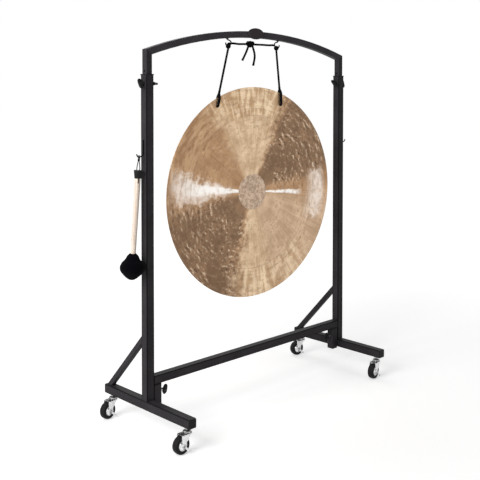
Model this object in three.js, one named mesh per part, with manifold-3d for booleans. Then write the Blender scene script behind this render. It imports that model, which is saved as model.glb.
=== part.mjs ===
// Rolling gong stand with a height-adjustable arch, a hanging gong and a mallet.
// Millimetres, +Z up, X across the width, the front faces -Y, the floor is Z = 0.

import * as THREE from 'three';
import { mergeVertices } from 'three/addons/utils/BufferGeometryUtils.js';
import Module from 'manifold-3d';

const wasm = await Module();
wasm.setup();

// Clearances and shared finish values

const seat_gap = 0.3;
const cut_overrun = 4;
const weld_distance = 0.001;
const hole_clearance = 0.3;
const degree = Math.PI / 180;
const quarter_turn = Math.PI / 2;
const round_sides = 20;
const small_round_sides = 12;
const wire_sides = 8;
const hex_sides = 6;

// Base frame

const tube = 40;
const tube_wall = 2;
const tube_corner = 3;
const corner_steps = 2;
const post_spacing = 1290;
const foot_length = 592;
const foot_height = 106;
const post_top = 1557;
const crossbar_tube = 38;
const crossbar_bottom = 211;
const crossbar_gap = 3;
const stub_pad_radius = 13;
const brace_tube = 24;
const brace_wall = 1.6;
const brace_rise = 288;
const brace_inset = 29;
const cap_flange = 4;
const cap_edge = 1.5;
const cap_plug_depth = 15;

const half_tube = tube / 2;
const half_crossbar = crossbar_tube / 2;
const post_x = post_spacing / 2;
const foot_top = foot_height + tube;
const stub_x = post_x - half_tube - crossbar_gap - half_crossbar;
const brace_reach = foot_length / 2 - brace_inset;

// Telescoping arch

const leg_tube = 31;
const leg_wall = 1.8;
const leg_corner = 2.5;
const leg_bottom = 1262;
const arch_corner_height = 1669;
const arch_rise = 102;
const arch_steps = 24;
const bow_overrun_share = 1.06;
const collar_lip = 5;
const collar_overhang = 1.5;
const collar_depth = 25;
const height_hole_radius = 4.3;
const height_hole_pitch = 54;
const height_hole_count = 6;
const height_bolt_drop = 36;

const half_leg = leg_tube / 2;
const height_bolt_z = post_top - height_bolt_drop;

// Badge on the arch

const badge_width = 108;
const badge_height = 54;
const badge_thickness = 3;
const badge_edge = 0.8;
const badge_rim = 3;
const badge_recess = 0.6;
const badge_lift = 4;
const badge_sides = 20;

// Wing bolts and wing screws

const wing_span = 48;
const wing_tip_reach = 31;
const wing_tip_low = 17;
const wing_middle_reach = 28;
const wing_middle_half = 5;
const wing_root = 6;
const wing_tip_inset = 5;
const wing_thickness = 8;
const knob_hub_radius = 9;
const knob_hub_taper = 1.5;
const knob_length = 20;
const bolt_radius = 4;
const base_bolt_height = 64.5;
const base_bolt_exposed = 18;
const base_bolt_reach = 6;
const outer_left_angle = 62 * degree;
const outer_right_angle = 75 * degree;
const inner_left_angle = 4 * degree;
const inner_right_angle = 48 * degree;
const base_knob_angle = 102 * degree;

// Hooks

const hook_wire = 6;
const hook_steps = 20;
const hook_screw_depth = 8;
const hook_flange_radius = 8;
const hook_flange_thickness = 2;
const gong_hook_root_x = 172;
const gong_hook_belly_x = 149.5;
const gong_hook_tip_x = 181.5;
const gong_hook_seat_x = 166;
const gong_hook_drop = 37;
const gong_hook_tip_rise = 17;
const gong_hook_belly_high = 22;
const gong_hook_belly_low = 12;
const gong_hook_shoulder = 9;
const gong_hook_shoulder_rise = 2.5;
const mallet_wire = 5;
const mallet_hook_top = 1279;
const mallet_hook_seat = 1207;
const mallet_hook_bend = 1219;
const mallet_hook_reach = 39;
const mallet_hook_tip_rise = 13;
const mallet_seat_reach = 25;

// Gong and its cord

const gong_radius = 508;
const gong_height = 996;
const gong_thickness = 3;
const gong_dish = 9;
const gong_rings = 3;
const gong_sides = 72;
const gong_turn = -4.9 * degree;
const centre_disc_radius = 86;
const centre_disc_step = 1.5;
const centre_disc_slope = 3;
const cord_hole_radius = 7.5;
const cord_hole_inset = 91;
const cord_hole_spread_share = 0.39;
const cord_hole_shift = -22;
const left_cord_seat_x = 166;
const right_cord_seat_x = 161;
const cord = 9;
const cord_sleeve = 12;
const cord_sides = 8;
const cord_loop_join = 18;
const bend_share = Math.SQRT1_2;
const cord_ring_clearance = 2;
const cord_clearance = 1.2;
const tail_steps = 8;
const loop_steps = 24;
const run_steps = 14;
const knot_x = -21;
const knot_radius = 9.5;
const knot_tube = 4.5;
const knot_spread = 9;
const knot_tilt = 24 * degree;
const left_tail_shares = [
  [1, 0, 0],
  [2, 0.4, 1.6],
  [4, 0.8, 4.7],
  [6.6, 0.8, 8.7],
];
const right_tail_shares = [
  [-1, 0, 0],
  [-1.6, 0.4, 1.6],
  [-2.6, 0.8, 6.2],
  [-1.5, 0.8, 11.4],
];

// Mallet

const mallet_lean = 3.55 * degree;
const mallet_lean_back = 1.4 * degree;
const mallet_length = 469;
const mallet_drop = 56;
const sleeve_length = 35;
const sleeve_top_radius = 19;
const sleeve_bottom_radius = 14.5;
const sleeve_cap = 4;
const handle_top_radius = 12.5;
const handle_bottom_radius = 11.8;
const handle_in_head = 60;
const head_radius = 53;
const head_length = 112;
const head_rings = 14;
const head_outline_shares = [
  [0.27, 0],
  [0.47, 0.1],
  [0.6, 0.22],
  [0.87, 0.37],
  [1, 0.53],
  [0.94, 0.68],
  [0.7, 0.82],
  [0.42, 0.94],
  [0.2, 1],
];
const mallet_cord = 3.6;
const mallet_knot_radius = 5;
const mallet_knot_drop = 11;
const strand_spread = 10;

// Casters

const wheel_radius = 38;
const wheel_width = 32;
const caster_trail = 33;
const caster_inset = 36;
const caster_turns = { front_left: 0, rear_left: 8, front_right: 10, rear_right: -11 };
const tyre_bore_radius = 24;
const tyre_shoulder = 5;
const tyre_side_step = 2;
const wheel_sides = 24;
const hub_face_radius = 20;
const hub_face_depth = 3;
const hub_boss_radius = 8;
const axle_radius = 4;
const axle_head_across = 13;
const axle_head_length = 5;
const fork_plate = 2.5;
const fork_gap = 2;
const fork_eye_radius = 9.5;
const fork_leg_front = 11;
const fork_leg_back = -35;
const crown_bottom = 80;
const crown_thickness = 3;
const crown_nose_radius = 20.5;
const crown_tail = 40;
const crown_tail_chamfer = 4;
const race_radius = 16;
const race_height = 4;
const race_cap_radius = 18;
const race_cap_height = 3.7;
const race_dome_height = 4;
const neck_radius = 8;
const kingpin_radius = 5;
const kingpin_head_radius = 8;
const kingpin_head_height = 4.5;
const stem_nut_across = 19;
const stem_nut_height = 8;
const stem_thread_length = 18;
const brake_plate = 2.5;
const brake_length = 46;
const brake_width = 13;
const brake_eye_radius = 9;
const brake_droop = 41 * degree;
const brake_tab = 7;

// Materials

const finish = (color, roughness, metalness) =>
  new THREE.MeshStandardMaterial({ color, roughness, metalness });

const black_coat = finish(0x2a292b, 0.45, 0.2);
const black_plastic = finish(0x1c1c1d, 0.55, 0);
const black_wire = finish(0x1d1d1e, 0.4, 0.4);
const black_cord = finish(0x131314, 0.9, 0);
const black_fleece = finish(0x17171a, 0.97, 0);
const bronze = finish(0xb08a5c, 0.35, 0.9);
const pale_wood = finish(0xe6cfb4, 0.6, 0);
const zinc = finish(0xc9cbcd, 0.28, 0.9);
const tyre_rubber = finish(0x202022, 0.75, 0);
const badge_finish = finish(0x222123, 0.3, 0.3);

// Solid helpers

// Shares the corners of a geometry and drops the triangles that close up to nothing.
function welded(geometry) {
  const bare = geometry.clone();
  bare.deleteAttribute('normal');
  bare.deleteAttribute('uv');
  const merged = mergeVertices(bare, weld_distance);
  const corners = merged.index.array;
  const kept = [];
  for (let i = 0; i < corners.length; i += 3) {
    const [a, b, c] = [corners[i], corners[i + 1], corners[i + 2]];
    if (a !== b && b !== c && c !== a) kept.push(a, b, c);
  }
  merged.setIndex(kept);
  return merged;
}

function toSolid(geometry) {
  const shell = welded(geometry);
  const vertProperties = new Float32Array(shell.attributes.position.array);
  const triVerts = new Uint32Array(shell.index.array);
  return new wasm.Manifold(new wasm.Mesh({ numProp: 3, vertProperties, triVerts }));
}

function extruded(shape, options) {
  return welded(new THREE.ExtrudeGeometry(shape, { bevelEnabled: false, ...options }));
}

function toGeometry(solid) {
  const shell = solid.getMesh();
  const geometry = new THREE.BufferGeometry();
  geometry.setAttribute('position', new THREE.BufferAttribute(new Float32Array(shell.vertProperties), 3));
  geometry.setIndex(new THREE.BufferAttribute(new Uint32Array(shell.triVerts), 1));
  return geometry;
}

function cut(geometry, ...tools) {
  return toGeometry(tools.reduce((left, tool) => left.subtract(toSolid(tool)), toSolid(geometry)));
}

function join(...pieces) {
  return toGeometry(pieces.map(toSolid).reduce((whole, piece) => whole.add(piece)));
}

function keepInside(geometry, region) {
  return toGeometry(toSolid(geometry).intersect(toSolid(region)));
}

// Moves a geometry by a position and turns it by Euler angles first.
function placed(geometry, [x, y, z], [rx, ry, rz] = [0, 0, 0]) {
  const turn = new THREE.Matrix4().makeRotationFromEuler(new THREE.Euler(rx, ry, rz));
  return geometry.clone().applyMatrix4(turn).translate(x, y, z);
}

function block([x0, x1], [y0, y1], [z0, z1]) {
  const box = new THREE.BoxGeometry(x1 - x0, y1 - y0, z1 - z0);
  return box.translate((x0 + x1) / 2, (y0 + y1) / 2, (z0 + z1) / 2);
}

// A round bar whose axis runs along X, Y or Z through a centre.
function roundBar(radius, length, axis, [x, y, z], sides = round_sides) {
  const turns = { x: [0, 0, quarter_turn], y: [0, 0, 0], z: [quarter_turn, 0, 0] };
  return placed(new THREE.CylinderGeometry(radius, radius, length, sides), [x, y, z], turns[axis]);
}

function roundedSquare(size, corner) {
  const half = size / 2;
  const inner = half - corner;
  const shape = new THREE.Shape();
  shape.moveTo(half, -inner);
  shape.lineTo(half, inner);
  shape.absarc(inner, inner, corner, 0, quarter_turn);
  shape.lineTo(-inner, half);
  shape.absarc(-inner, inner, corner, quarter_turn, Math.PI);
  shape.lineTo(-half, -inner);
  shape.absarc(-inner, -inner, corner, Math.PI, Math.PI + quarter_turn);
  shape.lineTo(inner, -half);
  shape.absarc(inner, -inner, corner, Math.PI + quarter_turn, 2 * Math.PI);
  return shape;
}

function squareHole(size) {
  const half = size / 2;
  return new THREE.Path([
    new THREE.Vector2(-half, -half),
    new THREE.Vector2(-half, half),
    new THREE.Vector2(half, half),
    new THREE.Vector2(half, -half),
  ]);
}

function tubeSection(size, wall, corner) {
  const section = roundedSquare(size, corner);
  section.holes.push(squareHole(size - 2 * wall));
  return section;
}

// A square tube that stands on its origin and runs up +Z.
function squareTube(size, wall, corner, length) {
  return extruded(tubeSection(size, wall, corner), {
    depth: length,
    curveSegments: corner_steps,
  });
}

// A round cord or wire that follows smooth points.
function roundAlong(points, diameter, steps, sides = cord_sides) {
  const section = new THREE.Shape();
  const radius = diameter / 2;
  for (let i = 0; i < sides; i += 1) {
    const angle = (2 * Math.PI * i) / sides;
    const corner = [radius * Math.cos(angle), radius * Math.sin(angle)];
    if (i === 0) section.moveTo(...corner);
    else section.lineTo(...corner);
  }
  section.closePath();
  const route = new THREE.CatmullRomCurve3(points.map((point) => new THREE.Vector3(...point)));
  return extruded(section, { steps, extrudePath: route });
}

// A closed loop of round cord through smooth points.
function closedRound(points, diameter, steps) {
  const route = new THREE.CatmullRomCurve3(points.map((point) => new THREE.Vector3(...point)), true);
  return welded(new THREE.TubeGeometry(route, steps, diameter / 2, cord_sides, true));
}

// A turned piece: points are [radius, height] pairs, and the axis is +Z.
function turned(points, sides) {
  const profile = points.map(([radius, height]) => new THREE.Vector2(radius, height));
  return welded(new THREE.LatheGeometry(profile, sides)).rotateX(quarter_turn);
}

const group = new THREE.Group();

function add(name, geometry, material, parent = group) {
  const mesh = new THREE.Mesh(geometry, material);
  mesh.name = name;
  parent.add(mesh);
  return mesh;
}

const sides = [
  { name: 'left', sign: -1 },
  { name: 'right', sign: 1 },
];

// Feet with their end caps and the holes for the caster stems

const stem_y = foot_length / 2 - caster_inset;
const foot_tube_length = foot_length - 2 * (cap_flange + seat_gap);

function foot(sign) {
  const body = squareTube(tube, tube_wall, tube_corner, foot_tube_length);
  const centre_z = foot_height + half_tube;
  const laid = placed(body, [sign * post_x, foot_tube_length / 2, centre_z], [quarter_turn, 0, 0]);
  const drill = (y) =>
    roundBar(kingpin_radius + hole_clearance, tube, 'z', [sign * post_x, y, foot_height], small_round_sides);
  return cut(laid, drill(stem_y), drill(-stem_y));
}

function footCap(sign, end) {
  const flange = extruded(roundedSquare(tube - 2 * cap_edge, tube_corner), {
    depth: cap_flange - cap_edge,
    bevelEnabled: true,
    bevelThickness: cap_edge,
    bevelSize: cap_edge,
    bevelSegments: corner_steps,
    curveSegments: corner_steps,
  });
  const plug_size = tube - 2 * tube_wall - 2 * seat_gap;
  const plug = extruded(roundedSquare(plug_size, tube_wall), {
    depth: cap_plug_depth,
    curveSegments: corner_steps,
  });
  const trimmed = keepInside(flange, block([-tube, tube], [-tube, tube], [0, tube]));
  const piece = join(trimmed, plug.translate(0, 0, -cap_plug_depth));
  const outward = end * (foot_length / 2 - cap_flange);
  return placed(piece, [sign * post_x, outward, foot_height + half_tube], [-end * quarter_turn, 0, 0]);
}

for (const { name, sign } of sides) {
  add(`${name}_foot`, foot(sign), black_coat);
  add(`${name}_front_foot_cap`, footCap(sign, -1), black_plastic);
  add(`${name}_rear_foot_cap`, footCap(sign, 1), black_plastic);
}

// Posts, each with its bolt holes

const post_bottom = foot_top + seat_gap;
const base_bolt_z = foot_height + base_bolt_height;

function post(sign) {
  const body = squareTube(tube, tube_wall, tube_corner, post_top - post_bottom);
  const radius = bolt_radius + hole_clearance;
  const centre = sign * post_x;
  const drill = (length, x, z) => roundBar(radius, length, 'x', [x, 0, z], small_round_sides);
  const height_hole = drill(tube + cut_overrun, centre, height_bolt_z);
  const inner_face = centre - sign * half_tube;
  const base_hole = drill(half_tube, inner_face, base_bolt_z);
  return cut(body.translate(centre, 0, post_bottom), height_hole, base_hole);
}

// Plastic bushing that centres the telescoping leg in the post's mouth

function collar(sign) {
  const sleeve_size = tube - 2 * tube_wall - 2 * seat_gap;
  const bore = leg_tube + 2 * seat_gap;
  const lip = extruded(roundedSquare(tube + 2 * collar_overhang, tube_corner), {
    depth: collar_lip,
    curveSegments: corner_steps,
  });
  const sleeve = block(
    [-sleeve_size / 2, sleeve_size / 2],
    [-sleeve_size / 2, sleeve_size / 2],
    [-collar_depth, collar_lip / 2],
  );
  const opening = block([-bore / 2, bore / 2], [-bore / 2, bore / 2], [-2 * tube, 2 * tube]);
  const piece = cut(join(lip, sleeve), opening);
  return placed(piece, [sign * post_x, 0, post_top + seat_gap]);
}

// Rear braces, cut flat where they meet the post and the foot

function brace(sign) {
  const slope = Math.atan2(brace_reach, brace_rise);
  const length = Math.hypot(brace_reach, brace_rise);
  const long_tube = squareTube(brace_tube, brace_wall, tube_corner, length + 4 * brace_tube);
  const half_brace = brace_tube / 2;
  const outer_top = [half_tube, foot_top + brace_rise];
  const middle = [
    outer_top[0] - half_brace * Math.cos(slope),
    outer_top[1] - half_brace * Math.sin(slope),
  ];
  const start = [
    middle[0] - 2 * brace_tube * Math.sin(slope),
    middle[1] + 2 * brace_tube * Math.cos(slope),
  ];
  const leaning = placed(long_tube, [sign * post_x, start[0], start[1]], [Math.PI + slope, 0, 0]);
  const region = block(
    [sign * post_x - tube, sign * post_x + tube],
    [half_tube + seat_gap, foot_length],
    [foot_top + seat_gap, post_top],
  );
  return keepInside(leaning, region);
}

for (const { name, sign } of sides) {
  add(`${name}_post`, post(sign), black_coat);
  add(`${name}_collar`, collar(sign), black_plastic);
  add(`${name}_brace`, brace(sign), black_coat);
}

// Crossbar, with a closed stub leg welded under each end. A round pad on the leg bears on the post

function crossbar() {
  const length = 2 * (stub_x + half_crossbar);
  const bar = squareTube(crossbar_tube, tube_wall, tube_corner, length);
  const laid = placed(bar, [-length / 2, 0, crossbar_bottom + half_crossbar], [0, quarter_turn, 0]);
  const stub = squareTube(crossbar_tube, tube_wall, tube_corner, crossbar_bottom + tube_corner - foot_height);
  const end_plate = extruded(roundedSquare(crossbar_tube, tube_corner), {
    depth: cap_flange,
    curveSegments: corner_steps,
  });
  const pad_length = crossbar_gap - seat_gap + tube_wall / 2;
  const pad_x = stub_x + half_crossbar + crossbar_gap - seat_gap - pad_length / 2;
  const drill_radius = bolt_radius + hole_clearance;
  const pieces = [laid];
  const holes = [];
  for (const { sign } of sides) {
    pieces.push(placed(stub, [sign * stub_x, 0, foot_height]));
    pieces.push(placed(end_plate, [sign * stub_x, 0, foot_height - cap_flange]));
    pieces.push(roundBar(stub_pad_radius, pad_length, 'x', [sign * pad_x, 0, base_bolt_z]));
    const hole_length = crossbar_tube + 2 * crossbar_gap + cut_overrun;
    holes.push(roundBar(drill_radius, hole_length, 'x', [sign * stub_x, 0, base_bolt_z], small_round_sides));
  }
  return cut(join(...pieces), ...holes);
}

add('crossbar', crossbar(), black_coat);

// Arch bow and its two telescoping legs, mitred to each other

const arch_half_width = post_x + half_leg;
const arch_radius = (arch_half_width ** 2 + arch_rise ** 2) / (2 * arch_rise);
const arch_centre_z = arch_corner_height + arch_rise - arch_radius;
const arch_top = arch_corner_height + arch_rise;
const bow_radius = arch_radius - half_leg;
const inner_corner_x = post_x - half_leg;
const inner_corner_z = archUnderside(inner_corner_x);

function archUnderside(x) {
  return arch_centre_z + Math.sqrt((arch_radius - leg_tube) ** 2 - x ** 2);
}

class BowCurve extends THREE.Curve {
  getPoint(share, target = new THREE.Vector3()) {
    const spread = Math.asin(arch_half_width / bow_radius) * bow_overrun_share;
    const angle = (2 * share - 1) * spread;
    return target.set(bow_radius * Math.sin(angle), 0, arch_centre_z + bow_radius * Math.cos(angle));
  }
}

// The region above or below the mitre plane, as a thick slab in the XZ plane.
function mitreRegion(sign, above) {
  const run = arch_half_width - inner_corner_x;
  const rise = arch_corner_height - inner_corner_z;
  const reach = 2 * post_spacing;
  const along = new THREE.Vector2(run, rise).normalize();
  const away = above ? new THREE.Vector2(-along.y, along.x) : new THREE.Vector2(along.y, -along.x);
  const start = new THREE.Vector2(inner_corner_x, inner_corner_z).addScaledVector(away, seat_gap / 2);
  const corners = [
    start.clone().addScaledVector(along, -reach / 2),
    start.clone().addScaledVector(along, reach / 2),
    start.clone().addScaledVector(along, reach / 2).addScaledVector(away, reach),
    start.clone().addScaledVector(along, -reach / 2).addScaledVector(away, reach),
  ];
  const outline = new THREE.Shape(corners.map(({ x, y }) => new THREE.Vector2(sign * x, y)));
  const slab = extruded(outline, { depth: 2 * tube });
  return slab.translate(0, 0, -tube).rotateX(quarter_turn);
}

function archBow() {
  const section = tubeSection(leg_tube, leg_wall, leg_corner);
  const bent = extruded(section, {
    steps: arch_steps,
    extrudePath: new BowCurve(),
    curveSegments: corner_steps,
  });
  const trimmed = keepInside(keepInside(bent, mitreRegion(1, true)), mitreRegion(-1, true));
  const drill_radius = hook_wire / 2 + hole_clearance;
  const drill = (sign) => {
    const z = archUnderside(gong_hook_root_x);
    return roundBar(drill_radius, leg_tube, 'z', [sign * gong_hook_root_x, 0, z], small_round_sides);
  };
  return cut(trimmed, drill(1), drill(-1));
}

function archLeg(sign) {
  const body = squareTube(leg_tube, leg_wall, leg_corner, arch_top - leg_bottom);
  const standing = body.translate(sign * post_x, 0, leg_bottom);
  const trimmed = keepInside(standing, mitreRegion(sign, false));
  const first_hole = height_bolt_z + height_hole_pitch;
  const holes = [];
  for (let i = 0; i < height_hole_count; i += 1) {
    const z = first_hole - i * height_hole_pitch;
    holes.push(roundBar(height_hole_radius, tube, 'x', [sign * post_x, 0, z], small_round_sides));
  }
  return cut(trimmed, ...holes);
}

add('arch_bow', archBow(), black_coat);
for (const { name, sign } of sides) {
  add(`${name}_arch_leg`, archLeg(sign), black_coat);
}

// Oval badge, with a bare recessed face inside a narrow rim

function ovalShape(width, height) {
  const outline = new THREE.Shape();
  outline.absellipse(0, 0, width / 2, height / 2, 0, 2 * Math.PI);
  return outline;
}

function badge() {
  const plate = extruded(ovalShape(badge_width - 2 * badge_edge, badge_height - 2 * badge_edge), {
    depth: badge_thickness - 2 * badge_edge,
    bevelEnabled: true,
    bevelThickness: badge_edge,
    bevelSize: badge_edge,
    bevelSegments: 1,
    curveSegments: badge_sides,
  });
  const recess = extruded(ovalShape(badge_width - 2 * badge_rim, badge_height - 2 * badge_rim), {
    depth: cut_overrun,
    curveSegments: badge_sides,
  });
  const face = badge_thickness - badge_edge - badge_recess;
  const piece = cut(plate, recess.translate(0, 0, face));
  const back = -half_leg - seat_gap - badge_edge;
  return placed(piece, [0, back, arch_top - half_leg + badge_lift], [quarter_turn, 0, 0]);
}

add('badge', badge(), badge_finish);

// Gong hooks: bent wire screwed up into the arch, opening outward

const gong_hook_seat_z = archUnderside(gong_hook_root_x) - gong_hook_drop;

function gongHook(sign) {
  const root = archUnderside(gong_hook_root_x);
  const seat = gong_hook_seat_z;
  const route = [
    [gong_hook_root_x, root + hook_screw_depth],
    [gong_hook_root_x, root],
    [gong_hook_root_x, root - hook_wire],
    [(gong_hook_root_x + gong_hook_belly_x) / 2, seat + gong_hook_belly_high + hook_wire],
    [gong_hook_belly_x, seat + gong_hook_belly_high],
    [gong_hook_belly_x, seat + gong_hook_belly_low],
    [gong_hook_seat_x - gong_hook_shoulder, seat + gong_hook_shoulder_rise],
    [gong_hook_seat_x, seat],
    [gong_hook_seat_x + gong_hook_shoulder, seat + gong_hook_shoulder_rise],
    [gong_hook_tip_x, seat + gong_hook_tip_rise / 2],
    [gong_hook_tip_x, seat + gong_hook_tip_rise],
  ];
  const points = route.map(([x, z]) => [sign * x, 0, z]);
  const wire = roundAlong(points, hook_wire, hook_steps, wire_sides);
  const slope = Math.asin(gong_hook_root_x / arch_radius);
  const flange_drop = hook_flange_radius * Math.tan(slope) + seat_gap + hook_flange_thickness / 2;
  const flange_z = root - flange_drop;
  const flange = roundBar(
    hook_flange_radius,
    hook_flange_thickness,
    'z',
    [sign * gong_hook_root_x, 0, flange_z],
    small_round_sides,
  );
  return join(wire, flange);
}

for (const { name, sign } of sides) {
  add(`${name}_gong_hook`, gongHook(sign), black_wire);
}

// Mallet hooks on the outer faces of the posts

const post_outer_x = post_x + half_tube;
const mallet_shank_x = post_outer_x + 2 * seat_gap + mallet_wire / 2;
const mallet_seat_x = post_outer_x + mallet_seat_reach;

function malletHook(sign) {
  const tip_x = post_outer_x + mallet_hook_reach;
  const route = [
    [mallet_shank_x, mallet_hook_top],
    [mallet_shank_x, mallet_hook_bend + mallet_wire],
    [mallet_shank_x, mallet_hook_bend],
    [mallet_shank_x + mallet_wire, mallet_hook_seat + mallet_wire],
    [mallet_seat_x, mallet_hook_seat],
    [(mallet_seat_x + tip_x) / 2, mallet_hook_seat + mallet_wire / 2],
    [tip_x, mallet_hook_seat + mallet_hook_tip_rise],
  ];
  const points = route.map(([x, z]) => [sign * x, 0, z]);
  return roundAlong(points, mallet_wire, hook_steps, wire_sides);
}

for (const { name, sign } of sides) {
  add(`${name}_mallet_hook`, malletHook(sign), black_wire);
}

// Wing bolts: a two-winged knob on a round shank, drawn with its axis along +X

function wingOutline() {
  const half_span = wing_span / 2;
  const root_half = knob_hub_radius - knob_hub_taper;
  const outline = new THREE.Shape();
  outline.moveTo(root_half, wing_root);
  outline.quadraticCurveTo(half_span - wing_tip_inset, wing_root, half_span, wing_tip_low);
  outline.lineTo(half_span, wing_tip_reach - wing_tip_inset);
  outline.quadraticCurveTo(half_span, wing_tip_reach, half_span - wing_tip_inset, wing_tip_reach);
  outline.quadraticCurveTo(root_half, wing_tip_reach, wing_middle_half, wing_middle_reach);
  outline.lineTo(-wing_middle_half, wing_middle_reach);
  outline.quadraticCurveTo(-root_half, wing_tip_reach, -half_span + wing_tip_inset, wing_tip_reach);
  outline.quadraticCurveTo(-half_span, wing_tip_reach, -half_span, wing_tip_reach - wing_tip_inset);
  outline.lineTo(-half_span, wing_tip_low);
  outline.quadraticCurveTo(-half_span + wing_tip_inset, wing_root, -root_half, wing_root);
  return outline;
}

function wingBolt(shank_length) {
  const wings = extruded(wingOutline(), {
    depth: wing_thickness,
    curveSegments: corner_steps,
  });
  const upright = wings.translate(0, 0, -wing_thickness / 2);
  const hub_end = knob_hub_radius - knob_hub_taper;
  const hub = new THREE.CylinderGeometry(hub_end, knob_hub_radius, knob_length, small_round_sides);
  const shank_total = shank_length + knob_hub_taper;
  const shank = new THREE.CylinderGeometry(bolt_radius, bolt_radius, shank_total, small_round_sides);
  const piece = join(
    upright,
    hub.translate(0, knob_length / 2, 0),
    shank.translate(0, -(shank_length - knob_hub_taper) / 2, 0),
  );
  return piece.rotateZ(-quarter_turn);
}

// Seats a wing bolt on a face at x, looking along sign, turned about its own axis.
function seatedBolt(name, shank_length, [x, z], sign, angle) {
  const holder = new THREE.Group();
  holder.position.set(x, 0, z);
  holder.rotation.set(angle, 0, sign < 0 ? Math.PI : 0);
  group.add(holder);
  add(name, wingBolt(shank_length), black_plastic, holder);
}

const height_shank = (tube - leg_tube) / 2;
const base_shank = base_bolt_exposed + crossbar_tube + crossbar_gap + tube_wall + base_bolt_reach;

for (const { name, sign } of sides) {
  const outer_x = sign * (post_outer_x + seat_gap);
  const inner_x = sign * (post_x - half_tube - seat_gap);
  const outer_angle = sign < 0 ? outer_left_angle : outer_right_angle;
  const inner_angle = sign < 0 ? inner_left_angle : inner_right_angle;
  seatedBolt(`${name}_outer_wing_bolt`, height_shank, [outer_x, height_bolt_z], sign, outer_angle);
  seatedBolt(`${name}_inner_wing_bolt`, height_shank, [inner_x, height_bolt_z], -sign, inner_angle);
  const base_x = sign * (stub_x - half_crossbar - base_bolt_exposed);
  seatedBolt(`${name}_base_wing_bolt`, base_shank, [base_x, base_bolt_z], -sign, base_knob_angle);
}

// Gong: a shallow dished disc with a stepped centre disc and two cord holes

const cord_hole_rise = gong_radius - cord_hole_inset;

function cordHoleX(sign) {
  return cord_hole_shift + sign * gong_radius * cord_hole_spread_share;
}

function gongFace(radius) {
  const bowl = gong_dish * (1 - (radius / gong_radius) ** 2);
  return radius <= centre_disc_radius ? bowl - centre_disc_step : bowl;
}

function gongBody() {
  const radii = [0, centre_disc_radius];
  for (let i = 0; i <= gong_rings; i += 1) {
    const first = centre_disc_radius + centre_disc_slope;
    radii.push(first + ((gong_radius - gong_thickness / 2 - first) * i) / gong_rings);
  }
  const front = radii.map((radius) => [radius, gongFace(radius) - gong_thickness / 2]);
  const back = radii.map((radius) => [radius, gongFace(radius) + gong_thickness / 2]);
  const disc = turned([...front, [gong_radius, 0], ...back.reverse()], gong_sides);
  const standing = placed(disc, [0, 0, 0], [-quarter_turn, 0, 0]);
  const drill = (sign) => {
    const centre = [cordHoleX(sign), 0, cord_hole_rise];
    return roundBar(cord_hole_radius, 2 * gong_dish + tube, 'y', centre, small_round_sides);
  };
  return cut(standing, drill(1), drill(-1));
}

const gong_holder = new THREE.Group();
gong_holder.position.set(0, 0, gong_height);
gong_holder.rotation.set(0, 0, gong_turn);
group.add(gong_holder);
add('gong', gongBody(), bronze, gong_holder);

// Gong cord: a strand from each hook to a sleeved loop through the gong's hole

function onGong(x, y, z) {
  return [
    x * Math.cos(gong_turn) - y * Math.sin(gong_turn),
    x * Math.sin(gong_turn) + y * Math.cos(gong_turn),
    gong_height + z,
  ];
}

const cord_ring_radius = hook_wire / 2 + cord_ring_clearance + cord / 2;

function cordSeatX(sign) {
  return sign < 0 ? -left_cord_seat_x : right_cord_seat_x;
}

function gongStrand(sign) {
  const hole_x = cordHoleX(sign);
  const middle = gongFace(Math.hypot(hole_x, cord_hole_rise));
  const stand_off = gong_thickness / 2 + cord_sleeve / 2 + cord_clearance;
  const hole_top = cord_hole_rise + cord_hole_radius;
  const turn_low = hole_top - cord_sleeve / 2 - cord_clearance;
  const bend_low = hole_top - (hole_top - turn_low) * bend_share;
  const rim_rise = Math.sqrt(gong_radius ** 2 - hole_x ** 2);
  const join_rise = rim_rise + cord_loop_join;
  const seat_rise = gong_hook_seat_z - gong_height;
  const lean_share = (cordSeatX(sign) - hole_x) / (seat_rise - cord_hole_rise);
  const leanX = (z) => hole_x + lean_share * (z - cord_hole_rise);
  const dishAt = (z) => gongFace(Math.min(gong_radius, Math.hypot(leanX(z), z)));
  const side = (y_sign, z) => onGong(leanX(z), dishAt(z) + y_sign * stand_off, z);
  const loop = [
    onGong(leanX(join_rise), middle, join_rise),
    side(-1, rim_rise),
    side(-1, (rim_rise + hole_top) / 2),
    side(-1, hole_top),
    onGong(hole_x, middle - stand_off * bend_share, bend_low),
    onGong(hole_x, middle, turn_low),
    onGong(hole_x, middle + stand_off * bend_share, bend_low),
    side(1, hole_top),
    side(1, (rim_rise + hole_top) / 2),
    side(1, rim_rise),
  ];
  const seat = [cordSeatX(sign), 0, gong_hook_seat_z];
  const ring = new THREE.TorusGeometry(cord_ring_radius, cord / 2, cord_sides, small_round_sides);
  const strand = [
    [seat[0], 0, seat[2] - cord_ring_radius],
    onGong(leanX(join_rise), middle, join_rise),
  ];
  return join(
    closedRound(loop, cord_sleeve, loop_steps),
    roundAlong(strand, cord, 1),
    placed(ring, seat, [0, quarter_turn, 0]),
  );
}

for (const { name, sign } of sides) {
  add(`${name}_gong_cord`, gongStrand(sign), black_cord);
}

// Top run of the cord from hook to hook, tied in a knot that leaves two tails

const run_z = gong_hook_seat_z + hook_wire / 2 + cord / 2 + hook_wire;
const run_side = hook_wire / 2 + cord / 2 + cord_clearance;
const run_perch = gong_hook_seat_z + hook_wire / 2 + cord;

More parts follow.
